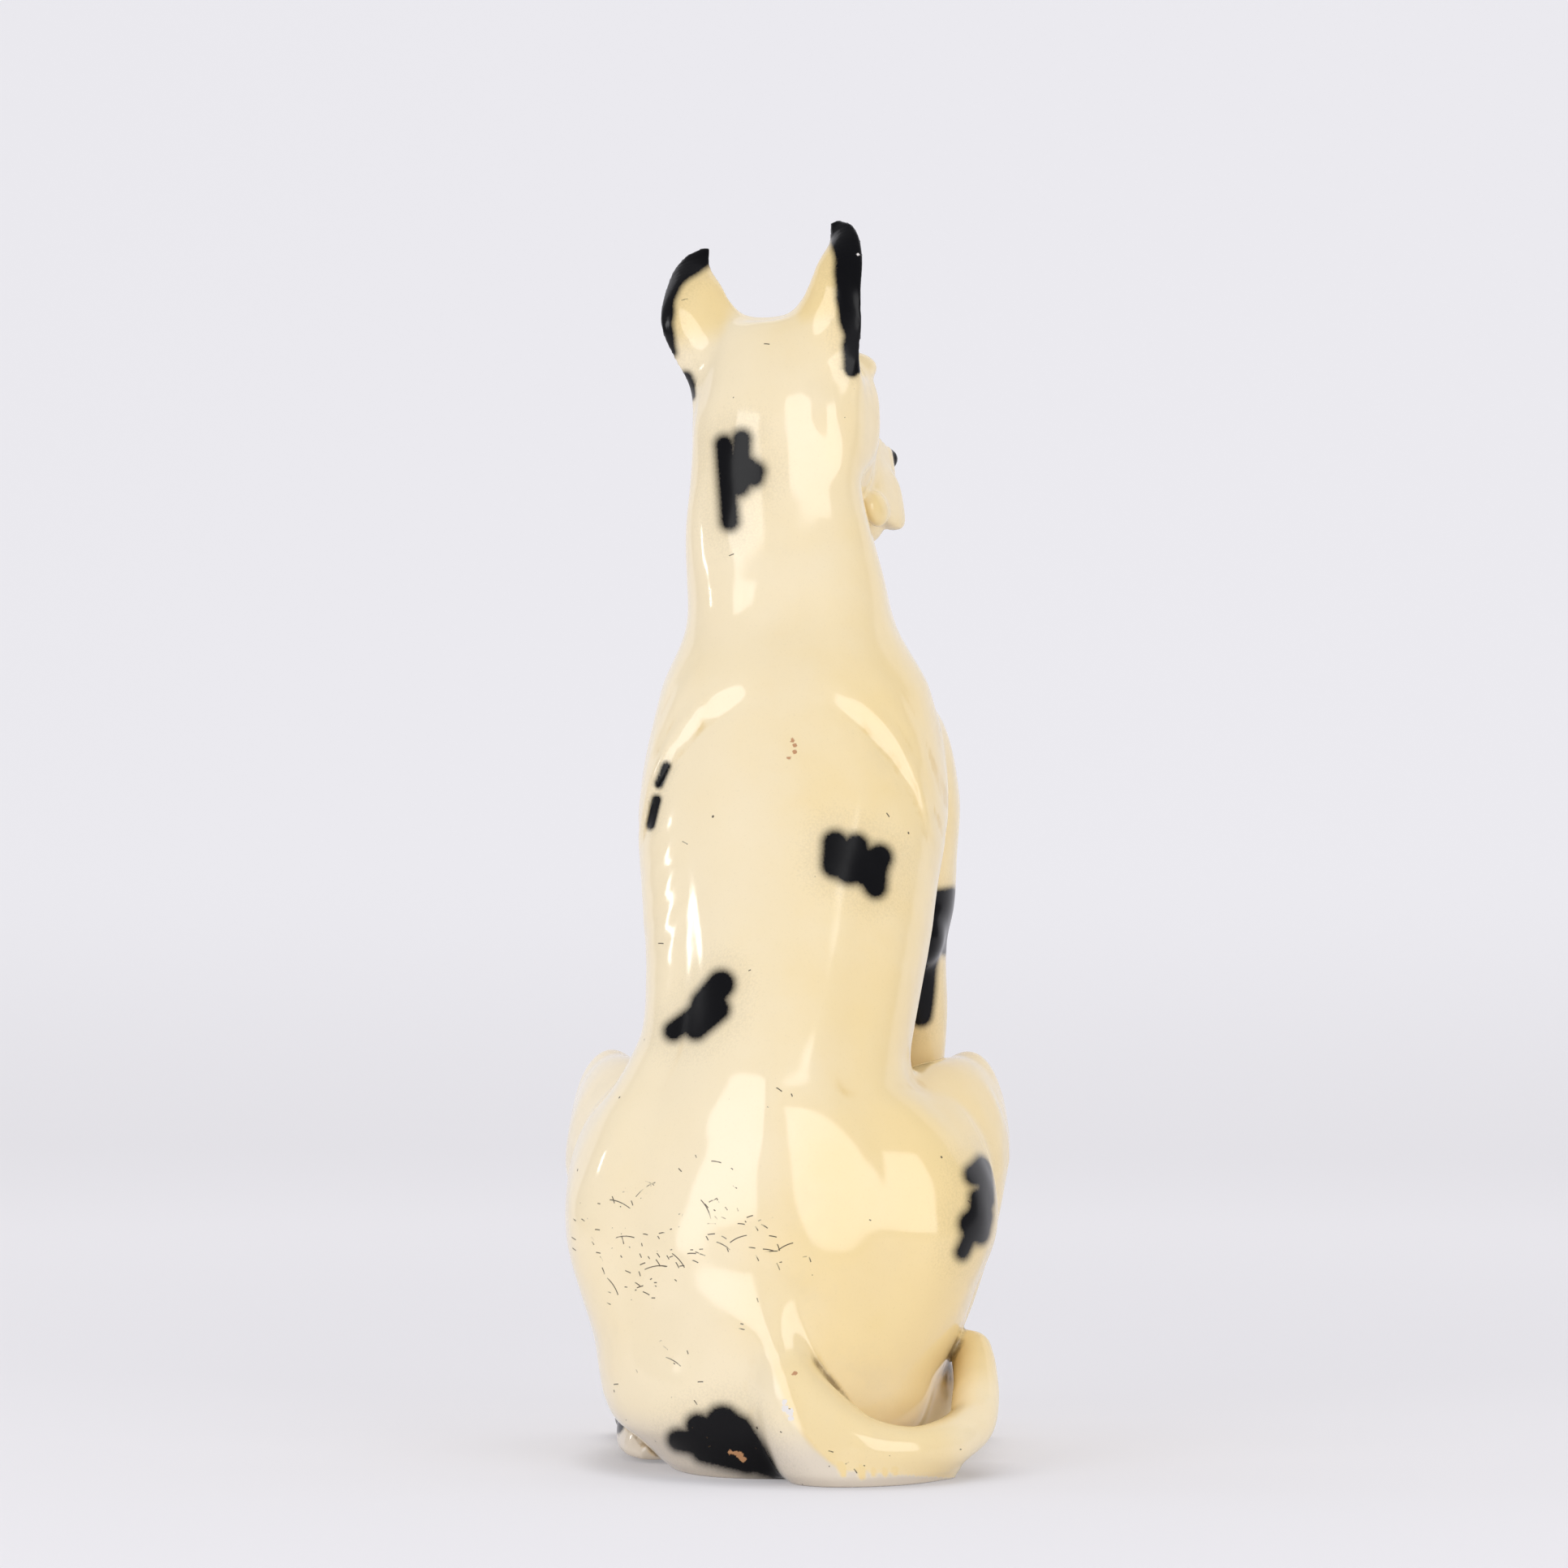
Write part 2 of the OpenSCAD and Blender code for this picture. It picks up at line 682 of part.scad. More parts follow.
// Columns: place in Y, out from the middle, height, half width, reach up, reach down
function haunch_rows(knee_x) =
    let (side = haunch_side - thigh_w / 2, thigh_up = knee_z - thigh_z)
    [
        for (s = HAUNCH_SHARES)
            [
                mix(-haunch_back, knee_front, s[0]),
                mix(side, knee_x, s[1]) - s[2] * thigh_w,
                thigh_z + s[3] * thigh_up,
                s[4] * thigh_w,
                s[5] * thigh_up,
                s[6] * thigh_drop
            ]
    ];

module haunch_form(side, knee_x, rings, grow) {
    rows = haunch_rows(knee_x);
    first = rows[0][0];
    end = last(rows)[0];
    loft([
        for (i = [0 : rings])
            let (
                y = end_place(first - grow, end + grow, i, rings),
                r = row_at(rows, clamp(y, first, end)),
                w = max(LEAST, r[3] + grow),
                up = max(LEAST, r[4] + grow),
                down = max(LEAST, r[5] + grow)
            )
            [
                for (p = section(0, 0, w, up, down, 2, HAUNCH_SIDES, -1))
                    [side * (r[1] + HAUNCH_LEAN * min(0, p[1])) + p[0], y, r[2] + p[1]]
            ]
    ]);
}

module haunch(side, knee_x) {
    color(GLAZE) difference() {
        haunch_form(side, knee_x, LIMB_RINGS, 0);
        haunch_form(side, knee_x, LIMB_RINGS, -wall);
        body_cutter();
    }
}

module left_haunch() {
    haunch(LEFT, left_knee_x);
}

module right_haunch() {
    haunch(RIGHT, right_knee_x);
}

// A hind foot, flat on the floor from the heel to the toes
function foot_y(t) = mix(-heel_back, toe_front, t);

// Columns: place in Y, out from the middle, half width, height
foot_rows = [
    [-heel_back, hind_paw_x - 0.17 * hind_paw_w, 0.13 * hind_paw_w, 0.3 * hind_foot_h],
    [foot_y(0.07), hind_paw_x - 0.12 * hind_paw_w, 0.3 * hind_paw_w, 0.62 * hind_foot_h],
    [foot_y(0.29), hind_paw_x, 0.36 * hind_paw_w, hind_foot_h],
    [foot_y(0.63), hind_paw_x, 0.38 * hind_paw_w, hind_foot_h],
    [foot_y(0.82), hind_paw_x, 0.5 * hind_paw_w, 0.94 * hind_foot_h],
    [foot_y(0.94), hind_paw_x, 0.44 * hind_paw_w, 0.7 * hind_foot_h],
    [toe_front, hind_paw_x, 0.2 * hind_paw_w, 0.3 * hind_foot_h]
];

module hind_foot_form(side) {
    loft([
        for (i = [0 : LIMB_RINGS])
            let (
                y = end_place(-heel_back, toe_front, i, LIMB_RINGS),
                r = row_at(foot_rows, y),
                sole = 0.4 * r[3]
            )
            [
                for (p = section(side * r[1], sole, r[2], r[3] - sole, sole, FOOT_POWER, LIMB_SIDES, -1))
                    [p[0], y, p[1]]
            ]
    ]);
}

module hind_foot(side, knee_x) {
    color(GLAZE) difference() {
        hind_foot_form(side);
        haunch_form(side, knee_x, LIMB_RINGS, slip_t);
        body_cutter();
        translate([0, 0, -PAST]) linear_extrude(slab_t + slip_t + PAST) slab_shape(slip_t);
    }
}

module left_hind_foot() {
    hind_foot(LEFT, left_knee_x);
}

module right_hind_foot() {
    hind_foot(RIGHT, right_knee_x);
}

// The tail: from its root down the rump, round the seat on the slab, and up at the tip
tail_rest_z = slab_t + slip_t + tail_mid_d / 2;
function tail_point(t) =
    let (
        xy = seat_point(TAIL_START + tail_wrap * t, mix(TAIL_SINK, tail_out, ease(min(1, t / TAIL_DROP)))),
        down = ease(min(1, t / TAIL_DROP)),
        rise = ease(clamp((t - TAIL_RISE) / (1 - TAIL_RISE), 0, 1))
    )
    [xy[0], xy[1], mix(tail_root_z, tail_rest_z, down) + (tail_tip_z - tail_rest_z) * rise];
tail_sizes = [
    [0, tail_root_d],
    [0.8 * TAIL_DROP, mix(tail_root_d, tail_mid_d, 0.3)],
    [1.6 * TAIL_DROP, tail_mid_d],
    [0.6, tail_mid_d],
    [0.93, tail_tip_d],
    [0.97, 0.92 * tail_tip_d],
    [1, 0.6 * tail_tip_d]
];

module tail_form() {
    loft([
        for (i = [0 : TAIL_RINGS])
            let (
                t = i / TAIL_RINGS,
                along = unit(tail_point(min(1, t + 0.01)) - tail_point(max(0, t - 0.01))),
                out = unit(cross(along, [0, 0, 1])),
                up = cross(out, along),
                r = row_at(tail_sizes, t)[1] / 2
            )
            [
                for (p = section(0, 0, r, r, r, 2, TAIL_SIDES, -1))
                    tail_point(t) + p[0] * out + p[1] * up
            ]
    ]);
}

module tail() {
    color(GLAZE) difference() {
        tail_form();
        body_cutter();
        haunch_form(RIGHT, right_knee_x, LIMB_RINGS, slip_t);
    }
}

base_slab();
hindquarters();
chest();
neck();
head();
lower_jaw();
left_ear();
right_ear();
left_eye();
right_eye();
left_foreleg();
right_foreleg();
left_haunch();
right_haunch();
left_hind_foot();
right_hind_foot();
tail();
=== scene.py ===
"""Looks of a seated spotted dog in glazed ceramic.

The figure is one smooth skin over the castings: a distance field in millimetres, meshed on a grid and
split again into one piece for each casting. Paint and wear are masks on the skin's points.
"""
import math

import bpy
import numpy as np
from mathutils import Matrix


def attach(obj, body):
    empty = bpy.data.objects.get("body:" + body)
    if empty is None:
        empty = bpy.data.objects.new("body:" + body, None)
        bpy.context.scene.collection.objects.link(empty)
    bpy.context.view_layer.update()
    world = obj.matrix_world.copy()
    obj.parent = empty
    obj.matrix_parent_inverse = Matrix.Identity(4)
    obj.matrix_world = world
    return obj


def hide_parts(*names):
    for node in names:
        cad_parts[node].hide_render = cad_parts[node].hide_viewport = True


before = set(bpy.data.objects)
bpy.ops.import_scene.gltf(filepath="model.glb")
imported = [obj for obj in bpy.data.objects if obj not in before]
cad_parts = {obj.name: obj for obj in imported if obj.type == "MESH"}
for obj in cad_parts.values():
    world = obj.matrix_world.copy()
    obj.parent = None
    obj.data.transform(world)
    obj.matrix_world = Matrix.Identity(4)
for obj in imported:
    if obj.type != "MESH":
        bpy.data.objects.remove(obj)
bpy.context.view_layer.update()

MM = 0.001
LEFT, RIGHT = -1, 1

# Photograph: its size, and the camera that took it, in millimetres and degrees
PHOTO_SIZE = 1932
CAMERA_TURN = math.radians(6.0)
CAMERA_DISTANCE = 4000.0
CAMERA_HEIGHT = 451.0
CAMERA_ASIDE = -3.2
CAMERA_FOCUS = 7273.0
SENSOR = 36.0

# Grid that the skin is cut from
STEP = 2.0
GRID_LOW = np.array((-168.0, -252.0, -9.0))
GRID_HIGH = np.array((170.0, 228.0, 858.0))
FAR = 60.0

# Castings, in the order of their numbers in the grid
NODE_NAMES = (
    "hindquarters", "chest", "neck", "head", "lower_jaw", "left_ear", "right_ear", "left_foreleg",
    "right_foreleg", "left_haunch", "right_haunch", "left_hind_foot", "right_hind_foot", "tail", "base_slab",
)
HINDQUARTERS, CHEST, NECK, HEAD, JAW, EAR_L, EAR_R, LEG_L = range(8)
LEG_R, HAUNCH_L, HAUNCH_R, FOOT_L, FOOT_R, TAIL, SLAB = range(8, 15)

# Body: levels, widths, back line and front line
SLAB_T = 10.0
WAIST_Z, NECK_BASE_Z, NECK_TOP_Z = 287.0, 556.0, 696.0
SEAT_W, SEAT_BACK, SEAT_FRONT = 168.0, 176.0, 30.0
NECK_LEAN = 16.0
KEEL = 0.3
BODY_POWER = 2.3
# Where the ridge of the back lies, a little to the right
RIDGE_X = 5.0
# How round the back's section is; below 2 it is a gable. Columns: height, power
BACK_POWER = (
    (0, 2.3), (62, 2.1), (120, 1.8), (240, 1.72), (300, 1.78), (400, 1.98), (500, 2.2), (590, 2.1),
    (660, 2.0), (770, 2.0),
)
# Columns: height, middle in X, half width, back, front, how much narrower the front is
BODY_ROWS = (
    (0, 3, SEAT_W / 2 - 9, -SEAT_BACK, SEAT_FRONT, 0),
    (10, 1, 83, -180, 35, 0),
    (20, -1, 93, -184, 40, 0),
    (30, -3, 104, -187, 45, 0),
    (45, -4, 111, -189, 50, 0),
    (62, -4, 115, -190, 54, 0.1 * KEEL),
    (84, -2, 121, -191, 60, 0.2 * KEEL),
    (117, -0.5, 132, -191, 66, 0.35 * KEEL),
    (134, 0.5, 138.5, -190, 68, 0.4 * KEEL),
    (151, 1, 143, -189, 70, 0.5 * KEEL),
    (170, 1, 144, -187, 70, 0.6 * KEEL),
    (190, 1, 141, -184, 70, 0.7 * KEEL),
    (208, -1, 134, -180, 72, 0.9 * KEEL),
    (225, -3, 124, -175, 74, KEEL),
    (240, -6, 112, -171, 76, KEEL),
    (252, -9, 101, -167, 78, KEEL),
    (265, -8, 94.5, -162, 82, KEEL),
    (WAIST_Z, -3, 91, -151, 88, KEEL),
    (325, 0, 94, -131, 106, KEEL),
    (370, 0, 99, -109, 126, KEEL),
    (443, 0, 105, -76, 160, KEEL),
    (515, 0, 91, -44, 160, 0.6 * KEEL),
    (NECK_BASE_Z, -0.25 * NECK_LEAN, 73, -22, 138, 0),
    (590, -0.45 * NECK_LEAN, 68, -14, 122, 0),
    (626, -0.78 * NECK_LEAN, 63, -6.5, 110, 0),
    (660, -0.91 * NECK_LEAN, 57, 0, 108, 0),
    (NECK_TOP_Z, -NECK_LEAN, 50, 5, 108, 0),
    (712, -0.95 * NECK_LEAN, 47.5, 8.5, 106, 0),
    (728, -0.9 * NECK_LEAN, 45.5, 13.5, 102, 0),
    (742, -0.85 * NECK_LEAN, 43.5, 19, 98, 0),
    (753, -0.8 * NECK_LEAN, 41, 24, 92, 0),
    (761, -0.8 * NECK_LEAN, 39, 28, 90, 0),
    (776, -0.8 * NECK_LEAN, 36, 36, 86, 0),
)

# Top of the skull between the ears, and how round its edge is
CROWN_Z, CROWN_ROUND = 768.5, 22.0

# Head: its place, its turn, and sections from the occiput to the nose
HEAD_AT = np.array((-14.0, 52.0, 716.0))
HEAD_YAW, HEAD_PITCH, HEAD_ROLL = 18.0, 12.0, 7.0
SKULL_W, SKULL_TOP, CHEEK_DROP = 108.0, 50.5, 66.0
OCCIPUT, REACH = 16.0, 166.0
MUZZLE_W, LIP_DROP, LIP_SPREAD = 56.0, 60.0, 0.42
HEAD_POWER = 2.25
# Columns: place along the axis, middle, half width, reach up, reach down, spread of the lower part
HEAD_ROWS = (
    (-OCCIPUT, 0, 0.04 * SKULL_W, 0.08 * SKULL_TOP, 0.08 * CHEEK_DROP, 0),
    (-0.96 * OCCIPUT, 0, 0.16 * SKULL_W, 0.33 * SKULL_TOP, 0.3 * CHEEK_DROP, 0),
    (-0.82 * OCCIPUT, 0, 0.31 * SKULL_W, 0.63 * SKULL_TOP, 0.56 * CHEEK_DROP, 0),
    (-0.4 * OCCIPUT, 0, 0.45 * SKULL_W, 0.92 * SKULL_TOP, 0.86 * CHEEK_DROP, 0),
    (0, 0, 0.5 * SKULL_W, SKULL_TOP, CHEEK_DROP, 0),
    (0.2 * REACH, 0, 0.5 * SKULL_W, 0.98 * SKULL_TOP, CHEEK_DROP, 0),
    (0.36 * REACH, 0, 0.48 * SKULL_W, 0.82 * SKULL_TOP, CHEEK_DROP, 0),
    (0.5 * REACH, 0, 0.6 * MUZZLE_W, 0.3 * SKULL_TOP, 0.5 * (CHEEK_DROP + LIP_DROP), LIP_SPREAD),
    (0.68 * REACH, 0, 0.5 * MUZZLE_W, 0.12 * SKULL_TOP, LIP_DROP, LIP_SPREAD),
    (0.86 * REACH, 0, 0.42 * MUZZLE_W, 0.08 * SKULL_TOP, LIP_DROP, LIP_SPREAD),
    (0.95 * REACH, 0, 0.36 * MUZZLE_W, 0.05 * SKULL_TOP, 0.8 * LIP_DROP, LIP_SPREAD),
    (REACH, -0.2 * LIP_DROP, 0.18 * MUZZLE_W, 0.1 * SKULL_TOP, 0.3 * LIP_DROP, 0),
)
JAW_W, JAW_DROP, JAW_LAP = 56.0, 74.0, 10.0
JAW_MID = LIP_DROP - JAW_LAP
JAW_DEEP = JAW_DROP - JAW_MID
JAW_ROWS = (
    (0.2 * REACH, -JAW_MID, 0.3 * JAW_W, JAW_LAP, 0.4 * JAW_DEEP, 0),
    (0.36 * REACH, -JAW_MID, 0.46 * JAW_W, JAW_LAP, 0.9 * JAW_DEEP, 0),
    (0.6 * REACH, -JAW_MID, 0.5 * JAW_W, JAW_LAP, JAW_DEEP, 0),
    (0.8 * REACH, -JAW_MID, 0.46 * JAW_W, JAW_LAP, JAW_DEEP, 0),
    (0.9 * REACH, -JAW_MID, 0.2 * JAW_W, 0.5 * JAW_LAP, 0.5 * JAW_DEEP, 0),
)
EYE_D = 20.0
EYE_AT = np.array((33.0, 0.38 * REACH, 0.42 * SKULL_TOP))
EAR_TIP_X, EAR_FLARE, EAR_T, EAR_CUP = 51.0, 73.0, 8.0, 13.0
EAR_HEIGHT = {LEFT: 119.0, RIGHT: 122.0}
EAR_LEAN = {LEFT: 2.0, RIGHT: -3.0}
EAR_FOOT = {LEFT: 50.0, RIGHT: 54.0}
EAR_INNER = {LEFT: (16, 25, 38, 48.5), RIGHT: (14, 22, 36, 45)}

# Forelegs. Columns: height, out, forward, half width, reach forward, reach back
LEG_X, PAW_Y = 73.0, 154.0
FORELEG_ROWS = (
    (0, LEG_X, PAW_Y, 29, 28, 34),
    (13.6, LEG_X, PAW_Y, 31, 32, 36),
    (34, LEG_X, PAW_Y - 8, 26.9, 34, 30),
    (56, LEG_X, PAW_Y - 18, 21.2, 26, 24),
    (104, LEG_X, PAW_Y - 24, 20, 22, 22),
    (221.8, LEG_X, PAW_Y - 26, 20.4, 24, 24),
    (292, LEG_X, PAW_Y - 30, 24.8, 29, 30),
    (340, LEG_X + 1, PAW_Y - 36, 24.2, 33, 36),
    (366, LEG_X + 1, PAW_Y - 41, 29.5, 39, 41),
    (397, LEG_X + 1, PAW_Y - 46, 31.4, 48, 46),
    (443, LEG_X + 3, PAW_Y - 54, 32.4, 56, 52),
    (493, LEG_X, PAW_Y - 66, 24.8, 44, 42),
    (525, LEG_X - 8, PAW_Y - 76, 10.8, 18, 18),
)
LIMB_POWER = 2.2
ELBOW_AT, ELBOW_SIZE = (LEG_X + 10, PAW_Y - 69, 346), (15, 21, 20)

# Haunches. Shares: way to the knee, way from thigh to knee, inset, height, half width, reach up, reach down
HAUNCH_SIDE, HAUNCH_BACK, THIGH_W, THIGH_Z, THIGH_DROP = 144.0, 138.0, 100.0, 186.0, 164.0
KNEE_Z, KNEE_FRONT, HAUNCH_LEAN = 266.0, 124.0, 0.15
KNEE_X = {LEFT: 133.0, RIGHT: 116.0}
HOCK_X = {LEFT: 80.0, RIGHT: 98.0}
HOCK_AT, HOCK_SIZE = (-48, 38), (23, 44, 38)
HAUNCH_SHARES = (
    (0, 0, 0.36, -0.45, 0.08, 0.2, 0.12), (0.069, 0, 0.3, -0.26, 0.28, 0.5, 0.5),
    (0.221, 0, 0.16, -0.075, 0.46, 0.75, 0.8), (0.393, 0, 0.06, 0, 0.5, 0.9, 0.96),
    (0.565, 0.4, 0, 0.05, 0.44, 0.925, 0.915), (0.748, 0.8, 0, 0.175, 0.35, 0.81, 0.61),
    (0.863, 1, 0, 0.275, 0.27, 0.725, 0.38), (0.954, 1, 0, 0.3, 0.2, 0.55, 0.256),
    (1, 1, 0, 0.275, 0.08, 0.225, 0.11),
)


def haunch_rows(knee_x):
    """Sections of a haunch from the rump to the front of the knee"""
    side, up = HAUNCH_SIDE - THIGH_W / 2, KNEE_Z - THIGH_Z
    return [
        (-HAUNCH_BACK + (KNEE_FRONT + HAUNCH_BACK) * s[0], side + (knee_x - side) * s[1] - s[2] * THIGH_W,
         THIGH_Z + s[3] * up, s[4] * THIGH_W, s[5] * up, s[6] * THIGH_DROP)
        for s in HAUNCH_SHARES
    ]


# Hind feet. Columns: place in Y, out, half width, height
HEEL, TOE, FOOT_X, FOOT_H, FOOT_POWER = 94.0, 110.0, 98.0, 38.0, 2.6
FOOT_INSET = {LEFT: 7.0, RIGHT: 0.0}
FOOT_ROWS = (
    (-HEEL, 88, 8, 0.3 * FOOT_H),
    (-HEEL + 14, 91, 18, 0.62 * FOOT_H),
    (-35, 98, 21.6, FOOT_H),
    (TOE - 76, 98, 22.8, FOOT_H),
    (TOE - 36, FOOT_X, 30, 0.94 * FOOT_H),
    (TOE - 18, FOOT_X + 1, 26.4, 0.7 * FOOT_H),
    (TOE - 8, FOOT_X + 1, 12, 0.3 * FOOT_H),
)

# Tail: out of the rump, round the seat to the right side, and up at the tip. Columns: X, Y, Z, radius
TAIL_ROWS = (
    (5, -150, 150, 4), (6, -167, 130, 6), (8, -177, 112, 8), (11, -182, 96, 10.5), (16, -185, 80, 14),
    (23, -188, 61, 19), (40, -190, 41, 21), (66, -195, 26, 18.5), (96, -186, 21, 15.5), (120, -160, 24, 15.5),
    (133, -126, 33, 16), (134, -100, 48, 15.5), (132, -79, 62, 14.5), (129, -64, 74, 13.5),
)
# Roll of clay between the tail's root and the slab. Columns: X, Y, Z, radius
ROLL_ROWS = (
    (16, -176, 72, 16), (20, -182, 54, 22), (34, -186, 26, 28), (54, -188, 4, 28), (84, -179, 0, 24),
    (108, -152, 0, 20),
)
SLAB_START, SLAB_END = 262.0, 360.0
SLAB_PAD = 54.0


def ease(t):
    """Smooth step from 0 to 1"""
    t = np.clip(t, 0, 1)
    return t * t * (3 - 2 * t)


def fade(value, start, end):
    """0 before start, 1 after end, smooth between; start may be the larger"""
    return ease((value - start) / (end - start))


def rows_at(rows, place):
    """Columns of a table of sections at a place along the form, on a smooth curve through its rows"""
    rows = np.asarray(rows, np.float64)
    key = rows[:, 0]
    place = np.clip(np.asarray(place, np.float64), key[0], key[-1])
    i = np.clip(np.searchsorted(key, place, side="right") - 1, 0, len(key) - 2)
    before = np.maximum(np.arange(len(key)) - 1, 0)
    after = np.minimum(np.arange(len(key)) + 1, len(key) - 1)
    slope = (rows[after] - rows[before]) / (key[after] - key[before])[:, None]
    gap = key[i + 1] - key[i]
    t = ((place - key[i]) / gap)[..., None]
    curve = rows[i] * (1 - ease(t)) + rows[i + 1] * ease(t)
    curve = curve + gap[..., None] * t * (1 - t) * (slope[i] * (1 - t) - slope[i + 1] * t)
    return [curve[..., c].astype(np.float32) for c in range(1, rows.shape[1])]


def section_gap(u, v, half_w, reach, power):
    """Distance from a superellipse, negative inside"""
    a = np.abs(u) / half_w + 1e-4
    b = np.abs(v) / reach + 1e-4
    g = (a ** power + b ** power) ** (1 / power)
    slope = np.sqrt((a ** (power - 1) / half_w) ** 2 + (b ** (power - 1) / reach) ** 2) * g ** (1 - power)
    return (g - 1) / slope


def smooth_min(a, b, blend):
    """Least of two distances, with a fillet"""
    h = np.maximum(blend - np.abs(a - b), 0) / blend
    return np.minimum(a, b) - h ** 3 * blend / 6


class Skin:
    """Distance from the figure on a grid, and the casting that each grid point belongs to"""

    def __init__(self):
        self.axes = [np.arange(lo, hi + STEP, STEP, dtype=np.float32) for lo, hi in zip(GRID_LOW, GRID_HIGH)]
        shape = [len(a) for a in self.axes]
        self.gap = np.full(shape, FAR, np.float32)
        self.part = np.zeros(shape, np.int8)

    def window(self, low, high):
        """Grid slices that cover a box, and the coordinates in it"""
        cut = tuple(
            slice(max(0, int((lo - a[0]) / STEP)), min(len(a), int((hi - a[0]) / STEP) + 2))
            for lo, hi, a in zip(low, high, self.axes)
        )
        x, y, z = (a[c] for a, c in zip(self.axes, cut))
        return cut, x[:, None, None], y[None, :, None], z[None, None, :]

    def join(self, cut, gap, blend, part):
        """Adds a form with a fillet"""
        old = self.gap[cut]
        self.part[cut] = np.where(gap < old, part, self.part[cut])
        self.gap[cut] = smooth_min(old, gap, blend)

    def at(self, field, points):
        """Values of a grid at points, linear between grid points"""
        place = (points - np.array([a[0] for a in self.axes])) / STEP
        base = np.clip(place.astype(int), 0, np.array(field.shape[:3]) - 2)
        part = (place - base)[:, :, None]
        total = 0
        for corner in np.ndindex(2, 2, 2):
            weight = 1.0
            for k in range(3):
                weight = weight * (part[:, k] if corner[k] else 1 - part[:, k])
            value = field[base[:, 0] + corner[0], base[:, 1] + corner[1], base[:, 2] + corner[2]]
            total = total + weight * value.reshape(len(points), -1)
        return total


def ellipsoid_gap(offsets, radii, power=2.0):
    """Distance from an ellipsoid, boxy at a higher power, for three coordinate arrays about its middle"""
    share = [np.abs(o) / r + 1e-4 for o, r in zip(offsets, radii)]
    g = sum(s ** power for s in share) ** (1 / power)
    steep = np.sqrt(sum((s ** (power - 1) / r) ** 2 for s, r in zip(share, radii))) * g ** (1 - power)
    return (g - 1) / steep


def beads_gap(x, y, z, points, radii):
    """Distance from a string or sheet of closely set balls"""
    best = np.full(np.broadcast_shapes(x.shape, y.shape, z.shape), FAR, np.float32)
    for (px, py, pz), r in zip(points, radii):
        away = np.sqrt((x - px) ** 2 + (y - py) ** 2 + (z - pz) ** 2) - r
        np.minimum(best, away, out=best)
    return best


def turn(axis, degrees):
    """Rotation about X, Y or Z as a matrix"""
    c, s = math.cos(math.radians(degrees)), math.sin(math.radians(degrees))
    i, j = {"x": (1, 2), "y": (2, 0), "z": (0, 1)}[axis]
    m = np.eye(3)
    m[i, i] = m[j, j] = c
    m[i, j], m[j, i] = -s, s
    return m


HEAD_TURN = turn("z", -HEAD_YAW) @ turn("x", -HEAD_PITCH) @ turn("y", -HEAD_ROLL)


def from_head(point):
    """Point of the head's own frame, in the figure's frame"""
    return HEAD_AT + HEAD_TURN @ np.asarray(point, float)


def to_head(x, y, z):
    """Coordinates in the head's own frame: right, forward, up"""
    rel = (x - HEAD_AT[0], y - HEAD_AT[1], z - HEAD_AT[2])
    return tuple(sum(rel[i] * HEAD_TURN[i, k] for i in range(3)) for k in range(3))


def seat_point(angle, out):
    """Point on the seat's outline at an angle in degrees, moved outwards"""
    c, s = np.cos(np.radians(angle)), np.sin(np.radians(angle))
    bow = 2 / BODY_POWER
    return (
        (SEAT_W / 2 + out) * np.sign(c) * np.abs(c) ** bow,
        (SEAT_FRONT - SEAT_BACK) / 2 + ((SEAT_FRONT + SEAT_BACK) / 2 + out) * np.sign(s) * np.abs(s) ** bow,
    )


# Edge of the shoulder blades' cape on the back. Columns: out from the spine, height
CAPE_EDGE = ((0, 521), (30, 512), (55, 497), (75, 474), (90, 447), (100, 412), (112, 372))
CAPE_RISE = 5.0
ROOF_RISE, ROOF_WIDTH, ROOF_ROUND = 3.0, 60.0, 4.0
RIB_RISE, RIB_PITCH, RIB_SLANT = 0.1, 24.0, 1.35
FOLD_RISE, FOLD_PITCH = 0.4, 26.0


def body_relief(x, from_ridge, y, z, mid_y, half_d):
    """How far the back's relief stands out: shoulder cape, ridge of the spine, ribs and folds"""
    out = np.abs(x)
    back = fade(-(y - mid_y) / half_d, -0.35, 0.25)
    edge = np.interp(out, [r[0] for r in CAPE_EDGE], [r[1] for r in CAPE_EDGE]).astype(np.float32)
    above = z - edge
    cape = fade(above, -12, 12) * fade(above, 110, 20) * (0.3 + 0.7 * fade(out, 8, 32)) * fade(edge, 390, 450)
    from_spine = np.sqrt(from_ridge ** 2 + ROOF_ROUND ** 2) - ROOF_ROUND
    roof = np.maximum(0, 1 - from_spine / ROOF_WIDTH) * fade(z, 120, 230) * fade(above, 12, -20)
    ribs = np.sin(2 * math.pi * (z + RIB_SLANT * out) / RIB_PITCH)
    rib_area = fade(out, 50, 80) * fade(z, 300, 345) * fade(above, 4, -25)
    folds = np.sin(2 * math.pi * above / FOLD_PITCH)
    folds = folds * fade(above, 6, 16) * fade(above, 80, 40) * fade(out, 45, 80)
    relief = CAPE_RISE * cape + ROOF_RISE * roof + RIB_RISE * ribs * rib_area + FOLD_RISE * folds
    return relief * back


